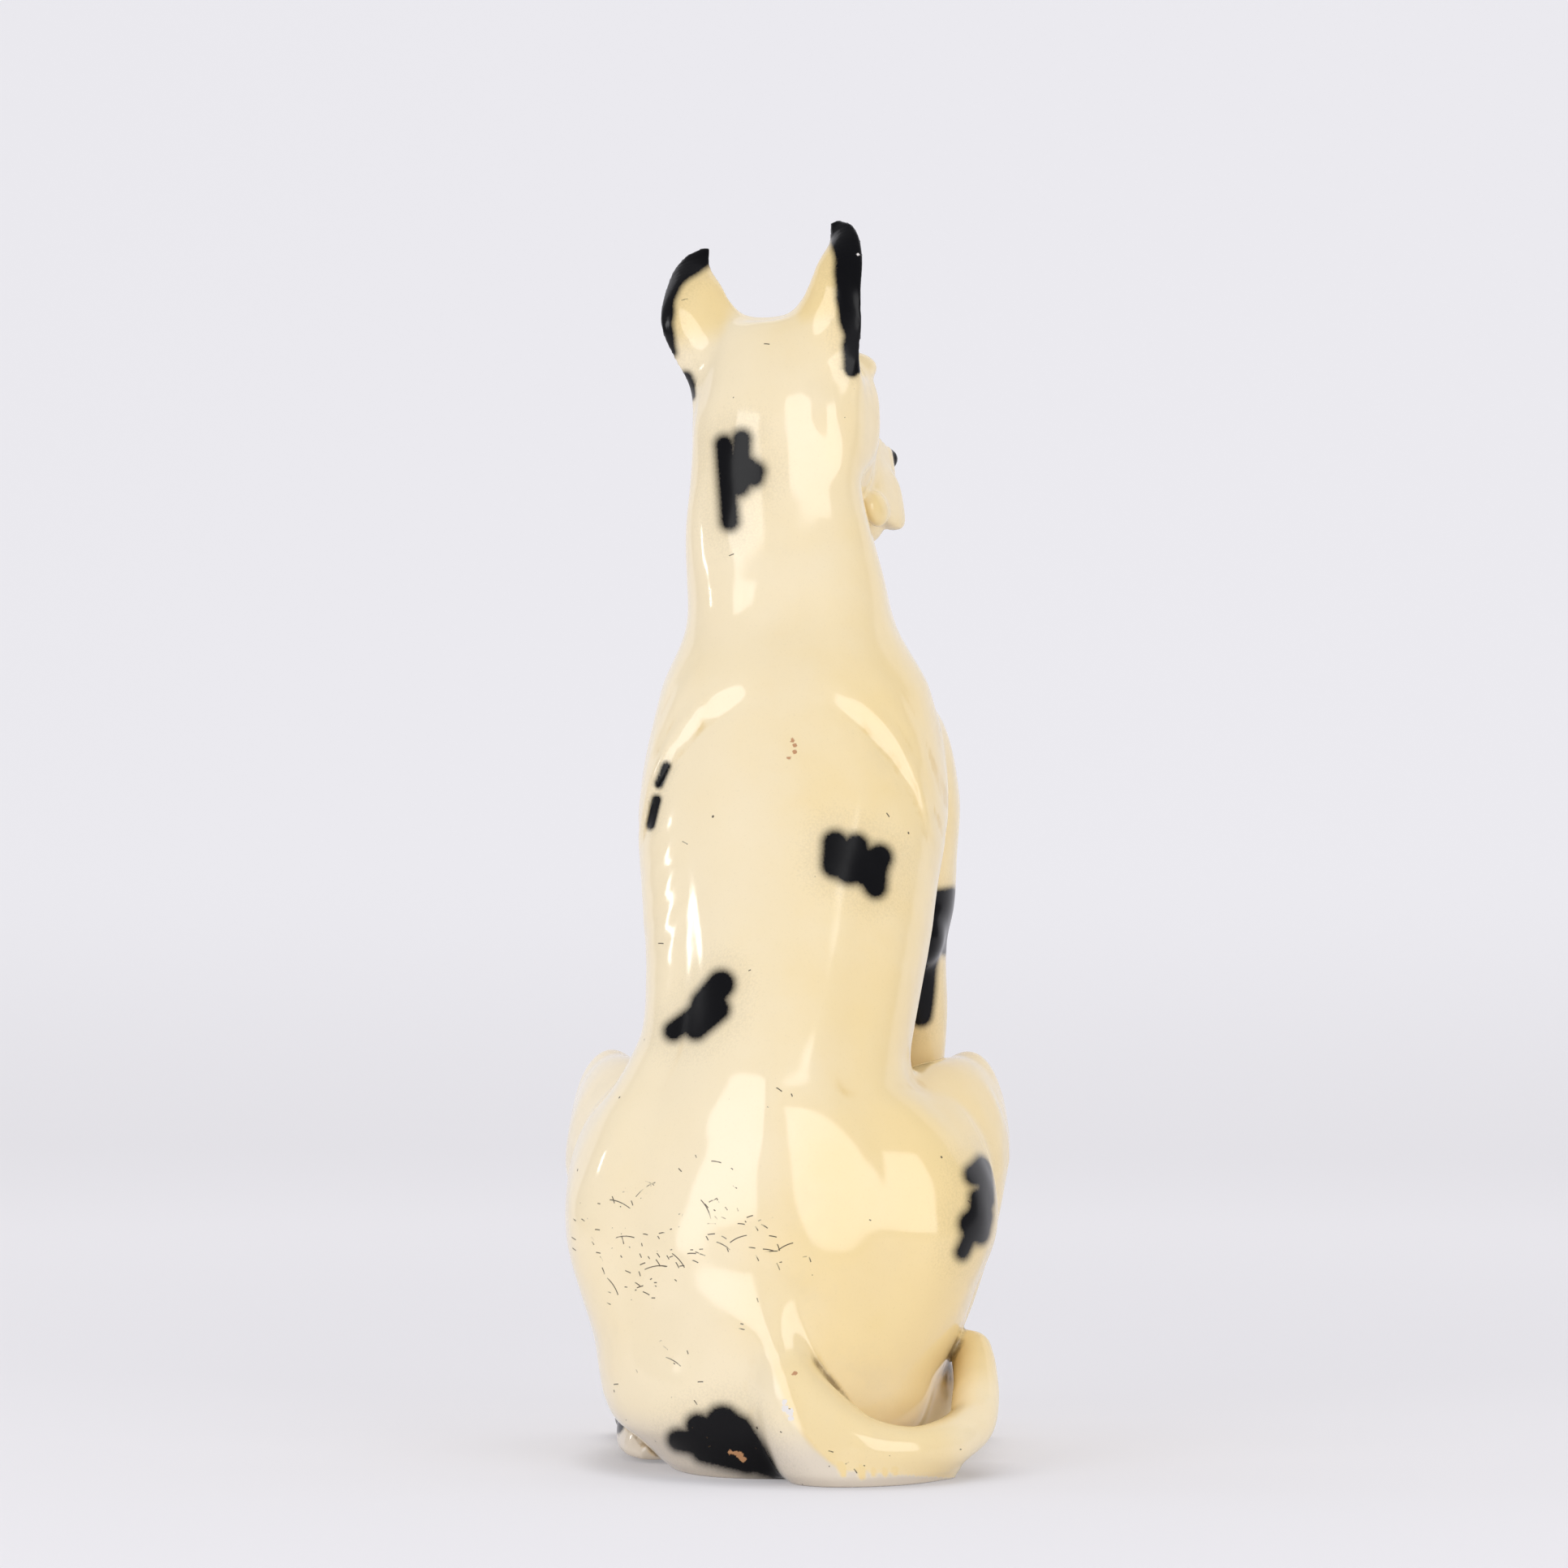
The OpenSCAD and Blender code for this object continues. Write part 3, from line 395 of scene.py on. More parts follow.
def add_body(skin):
    """Seat to neck, with the back's relief"""
    cut, x, y, z = skin.window(GRID_LOW, (170, 200, BODY_ROWS[-1][0] + 8))
    mid_x, half_w, back, front, keel = rows_at(BODY_ROWS, z)
    mid_y, half_d = (back + front) / 2, (front - back) / 2
    ahead = np.clip((y - mid_y) / half_d, 0, 1)
    (power,) = rows_at(BACK_POWER, z)
    rounder = np.maximum(fade((y - mid_y) / half_d, -0.3, 0.3), fade(np.abs(x - mid_x) / half_w, 0.55, 1.0))
    power = power + (BODY_POWER - power) * rounder
    across = x - mid_x
    skew = (RIDGE_X - mid_x) * fade(z, 60, 150) * fade(z, 520, 440) * fade((y - mid_y) / half_d, 0, -0.5)
    across = across - skew * np.maximum(0, 1 - np.abs(across) / half_w)
    gap = section_gap(across, y - mid_y, half_w * (1 - keel * ahead), half_d, power)
    gap = gap - body_relief(x, x - mid_x - skew, y, z, mid_y, half_d)
    gap = -smooth_min(-gap, CROWN_Z - z, CROWN_ROUND)
    skin.join(cut, gap.astype(np.float32), 0.1, HINDQUARTERS)


def add_haunch(skin, side):
    """Thigh and knee"""
    low = (min(side * 30, side * 172), -150, 0)
    high = (max(side * 30, side * 172), 136, 300)
    cut, x, y, z = skin.window(low, high)
    rows = haunch_rows(KNEE_X[side])
    out, mid_z, half_w, up, down = rows_at(rows, y)
    rise = z - mid_z
    across = side * x - out - HAUNCH_LEAN * np.minimum(0, rise)
    gap = section_gap(across, rise, half_w, np.where(rise > 0, up, down), 2.0)
    gap = np.maximum(gap, np.maximum(rows[0][0] - y, y - rows[-1][0]))
    blend = 8.0 + 23.0 * fade(y, 0, -60) * fade(z, 256, 226)
    part = HAUNCH_L if side == LEFT else HAUNCH_R
    skin.join(cut, gap.astype(np.float32), blend, part)
    hock = ellipsoid_gap((side * x - HOCK_X[side], y - HOCK_AT[0], z - HOCK_AT[1]), HOCK_SIZE)
    skin.join(cut, hock.astype(np.float32), 12.0, part)


TOES = 4


def add_toes(skin, middle_x, front_y, spread, size, part):
    """A row of toes along the front of a paw, without claws"""
    for k in range(TOES):
        share = k / (TOES - 1) - 0.5
        at = (middle_x + spread * share, front_y - 26 * abs(share), 0.62 * size)
        radii = (0.62 * size, 1.15 * size, 0.72 * size)
        cut, x, y, z = skin.window([a - 2 * size for a in at], [a + 2 * size for a in at])
        gap = ellipsoid_gap((x - at[0], y - at[1], z - at[2]), radii)
        skin.join(cut, gap.astype(np.float32), 3.0, part)


def add_foreleg(skin, side):
    """Shoulder, leg and paw"""
    part = LEG_L if side == LEFT else LEG_R
    low = (min(side * 20, side * 130), 0, -9)
    high = (max(side * 20, side * 130), 210, 545)
    cut, x, y, z = skin.window(low, high)
    out, mid_y, half_w, front, back = rows_at(FORELEG_ROWS, z)
    ahead = y - mid_y
    gap = section_gap(side * x - out, ahead, half_w, np.where(ahead > 0, front, back), LIMB_POWER)
    gap = np.maximum(gap, np.maximum(-z, z - FORELEG_ROWS[-1][0]))
    elbow = ellipsoid_gap((side * x - ELBOW_AT[0], y - ELBOW_AT[1], z - ELBOW_AT[2]), ELBOW_SIZE)
    gap = smooth_min(gap, elbow, 20.0)
    skin.join(cut, gap.astype(np.float32), 12.0, part)
    add_toes(skin, side * LEG_X, PAW_Y + 27, 48, 16.0, part)


def add_hind_foot(skin, side):
    """Foot on the floor, from the heel to the toes"""
    part = FOOT_L if side == LEFT else FOOT_R
    low = (min(side * 40, side * 150), -110, -9)
    high = (max(side * 40, side * 150), 126, 60)
    cut, x, y, z = skin.window(low, high)
    out, half_w, height = rows_at(FOOT_ROWS, y)
    rise = z - 0.4 * height
    out = out - FOOT_INSET[side] * fade(y, 60, 0)
    tall = np.where(rise > 0, 0.6 * height, 0.4 * height)
    gap = section_gap(side * x - out, rise, half_w, tall, FOOT_POWER)
    gap = np.maximum(gap, np.maximum(-HEEL - y, y - TOE))
    skin.join(cut, gap.astype(np.float32), 7.0, part)
    add_toes(skin, side * FOOT_X, TOE - 16, 40, 14.0, part)


def axis_gap(rows, u, t, v):
    """Distance from a form along the head's axis"""
    mid, half_w, up, down, spread = rows_at(rows, t)
    rise = v - mid
    tall = np.where(rise > 0, up, down)
    width = half_w * (1 - spread * np.clip(rise / np.maximum(up, down), -1, 1))
    gap = section_gap(u, rise, width, tall, HEAD_POWER)
    return np.maximum(gap, np.maximum(rows[0][0] - t, t - rows[-1][0]))


# Brow, cheek, flew and lip corner on the head's right side, mirrored on its left.
# Columns: middle, radii, fillet, power, slant
HEAD_BUMPS = (
    ((33, 56, 32), (18, 18, 10), 16.0, 2.0, 0.0),
    ((42, 18, -18), (14, 34, 34), 26.0, 2.0, 0.0),
    ((25, 126, -41), (9, 28, 22.5), 9.0, 3.2, 0.17),
    ((32, 97, -59), (7, 16, 12), 8.0, 2.0, 0.0),
)
NOSE_AT, NOSE_SIZE = (0, 161, -3), (23, 12, 12)
NOSTRIL_AT, NOSTRIL_SIZE = (10, 169, -3), (4.5, 4, 3)
LID_SIZE, EYE_OPENING = (13.5, 13.5, 12.5), (9, 9, 6)


def add_head(skin):
    """Skull, muzzle, brows, cheeks, lips, nose and eye openings"""
    cut, x, y, z = skin.window((-130, -12, 600), (130, 228, 800))
    u, t, v = to_head(x, y, z)
    gap = axis_gap(HEAD_ROWS, u, t, v)
    for middle, radii, fillet, power, slant in HEAD_BUMPS:
        for side in (LEFT, RIGHT):
            out = side * u - middle[0] - slant * (middle[2] - v)
            bump = ellipsoid_gap((out, t - middle[1], v - middle[2]), radii, power)
            gap = smooth_min(gap, bump, fillet)
    nose = ellipsoid_gap((u - NOSE_AT[0], t - NOSE_AT[1], v - NOSE_AT[2]), NOSE_SIZE)
    gap = smooth_min(gap, nose, 4.0)
    for side in (LEFT, RIGHT):
        from_eye = (u - side * EYE_AT[0], t - EYE_AT[1], v - EYE_AT[2])
        lids = ellipsoid_gap(from_eye, LID_SIZE)
        gap = smooth_min(gap, lids, 6.0)
        opening = ellipsoid_gap((from_eye[0] - side * 8, from_eye[1] - 9, from_eye[2]), EYE_OPENING)
        gap = -smooth_min(-gap, opening, 2.5)
        from_nostril = (u - side * NOSTRIL_AT[0], t - NOSTRIL_AT[1], v - NOSTRIL_AT[2])
        nostril = ellipsoid_gap(from_nostril, NOSTRIL_SIZE)
        gap = -smooth_min(-gap, nostril, 2.0)
    blend = 14.0 + 18.0 * fade(t, 40, 0)
    skin.join(cut, gap.astype(np.float32), blend, HEAD)
    jaw = axis_gap(JAW_ROWS, u, t, v)
    skin.join(cut, jaw.astype(np.float32), 3.0, JAW)


def ear_edges(side):
    """Inner and outer edge of an ear in the head's frame. Columns: share of the length, X, Y, Z"""
    tip = EAR_HEIGHT[side]
    wide = 1.25 * SKULL_TOP
    near, lean = EAR_INNER[side], EAR_LEAN[side]
    inner = (
        (0, near[0], -8, 0.7 * SKULL_TOP),
        (0.3, near[1], -8, 1.12 * SKULL_TOP),
        (0.62, near[2], -5, tip - 37),
        (0.85, near[3], -1, tip - 18),
        (1, EAR_TIP_X + lean - 3, 2, tip - 3),
    )
    outer = (
        (0, EAR_FOOT[side], 0, 0.1 * SKULL_TOP),
        (0.3, 0.63 * SKULL_W, -14, 0.72 * SKULL_TOP),
        (0.55, EAR_FLARE + lean, -19, wide),
        (0.8, 0.95 * EAR_FLARE + lean, -9, wide + 0.6 * (tip - wide)),
        (0.93, 0.85 * EAR_FLARE + lean, -2, wide + 0.86 * (tip - wide)),
        (1, EAR_TIP_X + lean + 3, 2, tip - 3),
    )
    return inner, outer


EAR_ALONG, EAR_ACROSS = 64, 34


def add_ear(skin, side):
    """Cupped leaf of an ear, as a sheet of balls"""
    inner, outer = ear_edges(side)
    along = np.linspace(0, 1, EAR_ALONG)
    a = np.stack(rows_at(inner, along), 1)[:, None, :]
    b = np.stack(rows_at(outer, along), 1)[:, None, :]
    back = np.cross(b - a, np.array((0.2, 0.0, 1.0)))
    back = back / np.linalg.norm(back, axis=2, keepdims=True)
    full = ease((1 - along) * 2.5)[:, None, None]
    w = np.linspace(0, 1, EAR_ACROSS)[None, :, None]
    arch = 4 * w * (1 - w)
    thick = (0.5 + 0.5 * np.sqrt(arch)) * EAR_T * (0.6 + 0.4 * full) / 2
    sheet = a + (b - a) * w + back * (EAR_CUP * full * arch - thick)
    points = np.array([from_head((side * p[0], p[1], p[2])) for p in sheet.reshape(-1, 3)])
    radii = np.broadcast_to(thick, sheet.shape[:2] + (1,)).reshape(-1)
    cut, x, y, z = skin.window(points.min(0) - 20, points.max(0) + 12)
    gap = beads_gap(x, y, z, points, radii)
    skin.join(cut, gap, 26.0, EAR_L if side == LEFT else EAR_R)


def path_points(rows, count):
    """Points along a smooth path, and its radius there"""
    table = [(i,) + tuple(row) for i, row in enumerate(rows)]
    x, y, z, r = rows_at(table, np.linspace(0, len(rows) - 1, count))
    return np.stack([x, y, z], 1), r


def add_tail(skin):
    """Tail round the right side, grown out of the rump, and the roll of clay under it"""
    tail, tail_size = path_points(TAIL_ROWS, 200)
    roll, roll_size = path_points(ROLL_ROWS, 90)
    cut, x, y, z = skin.window((-60, -252, -9), (168, -20, 190))
    tail_gap = beads_gap(x, y, z, tail, tail_size)
    roll_gap = beads_gap(x, y, z, roll, roll_size)
    part = np.where(tail_gap < roll_gap, TAIL, HINDQUARTERS)
    blend = 5.0 + 9.0 * fade(z, 60, 100) + 9.0 * fade(x, 40, 15)
    skin.join(cut, smooth_min(tail_gap, roll_gap, 16.0), blend, part)


def slab_outline(count):
    """Outline of the base slab, drawn out under the tail"""
    angle = np.arange(count) * 360.0 / count
    t = np.clip(((angle - SLAB_START) % 360) / (SLAB_END - SLAB_START), 0, 1)
    return np.stack(seat_point(angle, SLAB_PAD * ease(t / 0.35) * ease((1 - t) / 0.3) - 12), 1)


def add_slab(skin):
    """Base slab under the seat and the tail"""
    outline = slab_outline(180)
    cut, x, y, z = skin.window((-120, -250, -9), (150, 60, 24))
    nearest = np.full((x.shape[0], y.shape[1]), 1e6, np.float32)
    inside = np.zeros(nearest.shape, bool)
    px, py = x[:, :, 0], y[:, :, 0]
    for (x0, y0), (x1, y1) in zip(outline, np.roll(outline, -1, 0)):
        run_x, run_y = x1 - x0, y1 - y0
        along = np.clip(((px - x0) * run_x + (py - y0) * run_y) / (run_x ** 2 + run_y ** 2), 0, 1)
        away = np.hypot(px - x0 - along * run_x, py - y0 - along * run_y)
        nearest = np.minimum(nearest, away)
        inside ^= ((y0 > py) != (y1 > py)) & (px < run_x * (py - y0) / (run_y + 1e-9) + x0)
    flat = np.where(inside, -nearest, nearest)[:, :, None]
    gap = np.maximum(flat, np.maximum(z - SLAB_T, -z))
    skin.join(cut, gap.astype(np.float32), 9.0, SLAB)


# Unevenness of the modelled clay: wave length in millimetres, height
WOBBLE = ((120.0, 0.5), (66.0, 0.32), (34.0, 0.12))
WOBBLE_SEED = 7
# How much flatter the waves are on the back
BACK_CALM = 0.6
# How far the edge at the floor is drawn in
FOOT_UNDERCUT = 3.0


def wobble(x, y, z):
    """Slow waves over the whole surface"""
    dice = np.random.default_rng(WOBBLE_SEED)
    total = 0
    for length, height in WOBBLE:
        for _ in range(3):
            way = dice.normal(size=3)
            way = 2 * math.pi / length * way / np.linalg.norm(way)
            phase = dice.uniform(0, 2 * math.pi, 3)
            wave = np.sin(way[0] * x + phase[0]) * np.sin(way[1] * y + phase[1])
            wave = wave * np.sin(way[2] * z + phase[2])
            slant = np.sin(way[0] * x + way[1] * y + way[2] * z + phase[0])
            total = total + height * wave.astype(np.float32)
            total = total + 0.5 * height * slant.astype(np.float32)
    return total


def make_skin():
    """The whole figure's distance field"""
    skin = Skin()
    add_body(skin)
    for side in (LEFT, RIGHT):
        add_haunch(skin, side)
        add_foreleg(skin, side)
        add_hind_foot(skin, side)
    add_head(skin)
    for side in (LEFT, RIGHT):
        add_ear(skin, side)
    add_tail(skin)
    add_slab(skin)
    _, x, y, z = skin.window(GRID_LOW, GRID_HIGH)
    skin.gap += wobble(x, y, z) * (1 - BACK_CALM * fade(z, 240, 270) * fade(z, 560, 500))
    skin.gap += FOOT_UNDERCUT * fade(z, 7, 0)
    floor = -skin.axes[2][None, None, :]
    skin.gap = np.maximum(skin.gap, floor).astype(np.float32)
    return skin


CORNERS = np.array(list(np.ndindex(2, 2, 2)))
EDGES = [(i, j) for i in range(8) for j in range(i + 1, 8) if np.abs(CORNERS[i] - CORNERS[j]).sum() == 1]


def skin_mesh(skin):
    """Points and quads of the field's zero surface: one point in each crossed cell"""
    gap = skin.gap
    size = np.array(gap.shape) - 1
    corner = [gap[c[0]:c[0] + size[0], c[1]:c[1] + size[1], c[2]:c[2] + size[2]] for c in CORNERS]
    full = sum((c < 0).astype(np.int8) for c in corner)
    active = (full > 0) & (full < 8)
    cells = np.argwhere(active)
    values = np.stack([c[active] for c in corner], 1).astype(np.float64)
    total = np.zeros((len(cells), 3))
    count = np.zeros((len(cells), 1))
    for i, j in EDGES:
        crossed = (values[:, i] < 0) != (values[:, j] < 0)
        t = values[crossed, i] / (values[crossed, i] - values[crossed, j])
        total[crossed] += CORNERS[i] + t[:, None] * (CORNERS[j] - CORNERS[i])
        count[crossed] += 1
    points = np.array([a[0] for a in skin.axes]) + (cells + total / count) * STEP
    number = np.full(tuple(size), -1, np.int64)
    number[active] = np.arange(len(cells))
    quads = []
    for axis in range(3):
        b, c = (axis + 1) % 3, (axis + 2) % 3
        near = np.moveaxis(gap, (axis, b, c), (0, 1, 2))
        num = np.moveaxis(number, (axis, b, c), (0, 1, 2))
        low, high = near[:-1, 1:-1, 1:-1] < 0, near[1:, 1:-1, 1:-1] < 0
        crossed = low != high
        ring = np.stack([num[:, :-1, :-1][crossed], num[:, 1:, :-1][crossed], num[:, 1:, 1:][crossed],
                         num[:, :-1, 1:][crossed]], 1)
        flip = ~low[crossed]
        ring[flip] = ring[flip][:, ::-1]
        quads.append(ring)
    return points, np.concatenate(quads)


def settle(skin, points):
    """Moves points onto the surface, and gives the outward normals there"""
    slope = np.stack(np.gradient(skin.gap, STEP), 3)
    for _ in range(3):
        gap = skin.at(skin.gap, points)
        g = skin.at(slope, points)
        move = -gap * g / np.maximum((g ** 2).sum(1, keepdims=True), 0.2)
        points = points + np.clip(move, -0.5 * STEP, 0.5 * STEP)
    g = skin.at(slope, points)
    return points, g / np.maximum(np.linalg.norm(g, axis=1, keepdims=True), 1e-6)


def photo_pixels(points):
    """Where points fall in the photograph"""
    c, s = math.cos(CAMERA_TURN), math.sin(CAMERA_TURN)
    across = points[:, 0] * c + points[:, 1] * s - CAMERA_ASIDE
    depth = CAMERA_DISTANCE - points[:, 0] * s + points[:, 1] * c
    px = PHOTO_SIZE / 2 + across * CAMERA_FOCUS / depth
    py = PHOTO_SIZE / 2 + (CAMERA_HEIGHT - points[:, 2]) * CAMERA_FOCUS / depth
    return np.stack([px, py], 1)


def segment_gap(points, a, b):
    """Distance of points from a straight line between two ends"""
    a, b = np.asarray(a, float), np.asarray(b, float)
    along = np.clip(((points - a) @ (b - a)) / max(((b - a) ** 2).sum(), 1e-9), 0, 1)
    return np.linalg.norm(points - a - along[:, None] * (b - a), axis=1)


BACK = (HINDQUARTERS, CHEST, NECK, HEAD, HAUNCH_L, HAUNCH_R, TAIL, SLAB)
# Sprayed spots in photograph pixels: castings, softness, strokes of (x0, y0, x1, y1, half width)
SPRAYED = (
    (BACK, 13, (
        (892, 548, 899, 642, 8), (914, 541, 911, 600, 8), (931, 581, 929, 588, 8), (922, 574, 914, 594, 7),
    )),
    (BACK, 13, (
        (1029, 1039, 1028, 1066, 12), (1055, 1043, 1046, 1074, 12), (1084, 1056, 1062, 1070, 12),
        (1080, 1062, 1079, 1093, 10), (1035, 1058, 1075, 1068, 13), (1060, 1075, 1076, 1086, 9),
    )),
    (BACK, 13, (
        (888, 1213, 868, 1236, 14), (862, 1246, 830, 1270, 9), (884, 1244, 858, 1266, 12),
        (872, 1236, 860, 1254, 10),
    )),
    (BACK, 5, ((821, 944, 812, 966, 4), (809, 986, 802, 1016, 5))),
    (BACK, 13, (
        (1200, 1448, 1212, 1438, 10), (1214, 1440, 1217, 1476, 11), (1197, 1508, 1212, 1498, 13),
        (1212, 1498, 1209, 1518, 12), (1205, 1476, 1205, 1500, 8), (1194, 1526, 1186, 1543, 6),
    )),
    ((HINDQUARTERS, SLAB, HAUNCH_L), 13, (
        (836, 1775, 870, 1780, 11), (860, 1757, 872, 1780, 12), (890, 1753, 902, 1785, 18),
        (908, 1764, 926, 1794, 17), (922, 1785, 942, 1805, 10), (868, 1788, 920, 1800, 12),
        (935, 1803, 958, 1818, 5), (876, 1772, 915, 1784, 14),
    )),
    ((LEG_R,), 9, (
        (1140, 1122, 1172, 1118, 22), (1160, 1128, 1186, 1126, 18), (1140, 1150, 1166, 1156, 18),
        (1148, 1175, 1134, 1250, 12),
    )),
    ((HEAD,), 5, ((1049, 436, 1050, 455, 8), (846, 470, 852, 486, 6))),
    ((FOOT_L, LEG_L, HAUNCH_L), 5, ((752, 1748, 762, 1757, 8),)),
)
# Ear edges in photograph pixels; the paint goes round to the ear's front
EAR_PAINT = (
    (EAR_L, 8, (
        (868, 300, 868, 314, 11), (858, 308, 850, 322, 14), (846, 322, 836, 334, 10), (832, 338, 824, 354, 8),
        (824, 354, 819, 385, 6), (819, 385, 820, 415, 6), (820, 415, 826, 434, 5), (845, 466, 854, 489, 6),
    )),
    (EAR_R, 8, (
        (1036, 266, 1044, 292, 17), (1044, 270, 1050, 300, 16), (1052, 300, 1052, 335, 19),
        (1054, 335, 1054, 365, 19), (1056, 365, 1056, 392, 19), (1061, 392, 1059, 425, 14),
        (1052, 428, 1051, 454, 9),
    )),
)
# Spots where the photograph doesn't reach, in millimetres: strokes of two ends and a half width
HIDDEN_SPOTS = (
    ((-38, 158, 470), (-30, 160, 440), 13), ((-18, 160, 452), (-12, 160, 430), 11),
    ((30, 112, 360), (42, 106, 336), 12), ((-118, 70, 430), (-116, 84, 400), 12),
    ((-116, 52, 410), (-114, 62, 388), 10), ((-146, 10, 170), (-144, 34, 150), 13),
    ((-146, 20, 196), (-145, 44, 180), 10), ((-73, 150, 150), (-73, 150, 118), 13),
    ((-60, 150, 120), (-62, 150, 96), 10), ((112, 84, 470), (112, 96, 446), 11),
    ((146, 40, 150), (144, 66, 130), 12),
)
LEFT_PAW_TOP = ((-104, 62, 44), (-100, 84, 36), 19)


def head_places(points):
    """Points in the head's own frame"""
    return (points - HEAD_AT) @ HEAD_TURN


def strokes_mask(places, strokes, soft, blend=0.2):
    """Sprayed paint: dark inside the strokes, with a soft edge and a thin cloud of overspray"""
    gaps = np.array([segment_gap(places, s[0], s[1]) - s[2] for s in strokes])
    reach = blend * soft
    gap = -reach * np.log(np.exp(-np.clip(gaps, -60, 300) / reach).sum(0) + 1e-200)
    return np.clip(fade(gap, 1.1 * soft, -0.4 * soft) + 0.1 * fade(gap, 4 * soft, 0), 0, 1)


def pixel_strokes(strokes):
    """Strokes as two ends and a half width"""
    return [((s[0], s[1]), (s[2], s[3]), s[4]) for s in strokes]


# Direction from the figure to the photograph's camera
TO_CAMERA = np.array((math.sin(CAMERA_TURN), -math.cos(CAMERA_TURN), 0.0))
# How much farther a sprayed dab reaches along the line of sight than across it
DAB_DEPTH = 3.0


def seen_from_camera(normals):
    """1 on faces turned to the photograph's camera"""
    return fade(normals @ TO_CAMERA, -0.05, 0.1)


def pixel_index(points, normals, pixel, at):
    """Number of the point that shows at a pixel of the photograph"""
    away = np.hypot(pixel[:, 0] - at[0], pixel[:, 1] - at[1]) + 0.02 * points[:, 1]
    return np.argmin(away + 50 * (seen_from_camera(normals) < 0.5))


def dabs_mask(points, normals, strokes, soft):
    """Strokes of the photograph laid on the skin, so that they don't run on along the line of sight"""
    pixel = photo_pixels(points)
    depth = -(points @ TO_CAMERA) * CAMERA_FOCUS / CAMERA_DISTANCE / DAB_DEPTH
    laid = []
    for x0, y0, x1, y1, half in strokes:
        ends = [(*at, depth[pixel_index(points, normals, pixel, at)]) for at in ((x0, y0), (x1, y1))]
        laid.append((ends[0], ends[1], half))
    return strokes_mask(np.column_stack([pixel, depth]), laid, soft) * fade(normals @ TO_CAMERA, -0.6, -0.1)


def black_mask(points, normals, part):
    """How black the paint is on each point"""
    pixel = photo_pixels(points)
    seen = seen_from_camera(normals)
    black = np.zeros(len(points))
    for castings, soft, strokes in SPRAYED:
        on = np.flatnonzero(np.isin(part, castings))
        black[on] = np.maximum(black[on], dabs_mask(points[on], normals[on], strokes, soft))
    for ear, soft, strokes in EAR_PAINT:
        black = np.maximum(black, strokes_mask(pixel, pixel_strokes(strokes), soft, 0.6) * (part == ear))
    black = np.maximum(black, strokes_mask(points, HIDDEN_SPOTS, 4.0) * (1 - seen))
    black = np.maximum(black, strokes_mask(points, (LEFT_PAW_TOP,), 3.0) * (part == FOOT_L))
    local = head_places(points)
    nose = np.linalg.norm((local - np.array(NOSE_AT)) / np.array(NOSE_SIZE), axis=1)
    black = np.maximum(black, fade(nose, 1.22, 1.06) * (part == HEAD))
    lips = fade(np.abs(local[:, 2] + LIP_DROP), 4, 1) * fade(local[:, 1], 80, 95)
    lips = lips * fade(np.abs(local[:, 0]), 34, 28) * np.isin(part, (HEAD, JAW))
    black = np.maximum(black, 0.8 * lips)
    for side in (LEFT, RIGHT):
        lid = np.linalg.norm(local - EYE_AT * np.array((side, 1, 1)) - np.array((side * 7, 8, 0)), axis=1)
        black = np.maximum(black, fade(lid, 10, 6.5) * (part == HEAD))
    return black


# Yellow runs of glaze under the tail, in photograph pixels
RUNS = (
    (1037, 1806, 1039, 1816, 4), (1061, 1810, 1062, 1819, 4), (1077, 1811, 1077, 1817, 3),
    (1090, 1811, 1091, 1817, 2.5), (1103, 1810, 1103, 1816, 2.5),
)
# Edge of the yellow glaze on the tail, in photograph pixels: height, place across
TAIL_EDGE = (
    (1640, 940), (1692, 953), (1720, 964), (1747, 976), (1784, 1003), (1800, 1020), (1811, 1035),
    (1818, 1110), (1822, 1190),
)
# Corner of the lips in the head's frame, on both sides
LIP_CORNER = (0, 96, -61)


def warm_mask(points, normals, part, pixel):
    """How yellow the glaze is, more on the tail and on the right side, where part of the yellow is painted
    warm light; and where the glaze is thin and painted in shade above the floor
    """
    # Yellower to the right and on the right rump: partly yellow glaze, partly painted warm light from the
    # right side
    right_rump = fade(points[:, 2], 300, 160) * fade(points[:, 0], -20, 60)
    warm = 0.12 + 0.58 * fade(points[:, 0], -60, 100) + 0.26 * right_rump
    edge = np.interp(pixel[:, 1], [e[0] for e in TAIL_EDGE], [e[1] for e in TAIL_EDGE])
    local = head_places(points)
    corner = np.linalg.norm(local * np.array((0, 1, 1)) - np.array(LIP_CORNER), axis=1)
    warm = np.maximum(warm, fade(corner, 19, 12) * np.isin(part, (HEAD, JAW)))
    low = fade(pixel[:, 1], 1640, 1720) * seen_from_camera(normals)
    yellow = fade(pixel[:, 0] - edge, -5, 5)
    warm = warm * (1 - low) + low * (0.03 + 0.6 * yellow * (1 - 0.5 * fade(pixel[:, 0], 1150, 1200)))
    runs = strokes_mask(pixel, pixel_strokes(RUNS), 2.0) * np.isin(part, (HINDQUARTERS, SLAB, TAIL))
    line = fade(np.abs(pixel[:, 0] - edge), 7, 2) * low
    line = line * fade(pixel[:, 1], 1740, 1775) * fade(pixel[:, 1], 1818, 1812)
    warm = np.maximum(warm, 0.9 * line)
    # Ears and the top of the skull yellower and darker upwards: partly yellow glaze, partly painted shade on
    # the ears' upper backs
    warm = np.maximum(warm, 0.95 * fade(local[:, 2], 25, 60) * fade(np.abs(local[:, 0]), 16, 34))
    # Greyer and darker low down, left of the tail's yellow edge: partly thin glaze, partly painted shade near
    # the floor
    thin = low * (1 - yellow) * fade(points[:, 2], 48, 15) * (1 - runs)
    return np.maximum(warm, runs * seen_from_camera(normals)), thin


# Scratched places in photograph pixels: middle, half sizes, strength
WORN = (
    (850, 1535, 150, 105, 1.0), (960, 1560, 60, 70, 0.7), (965, 1356, 70, 12, 0.6),
    (1000, 1780, 120, 60, 0.35), (830, 1720, 100, 80, 0.3),
)


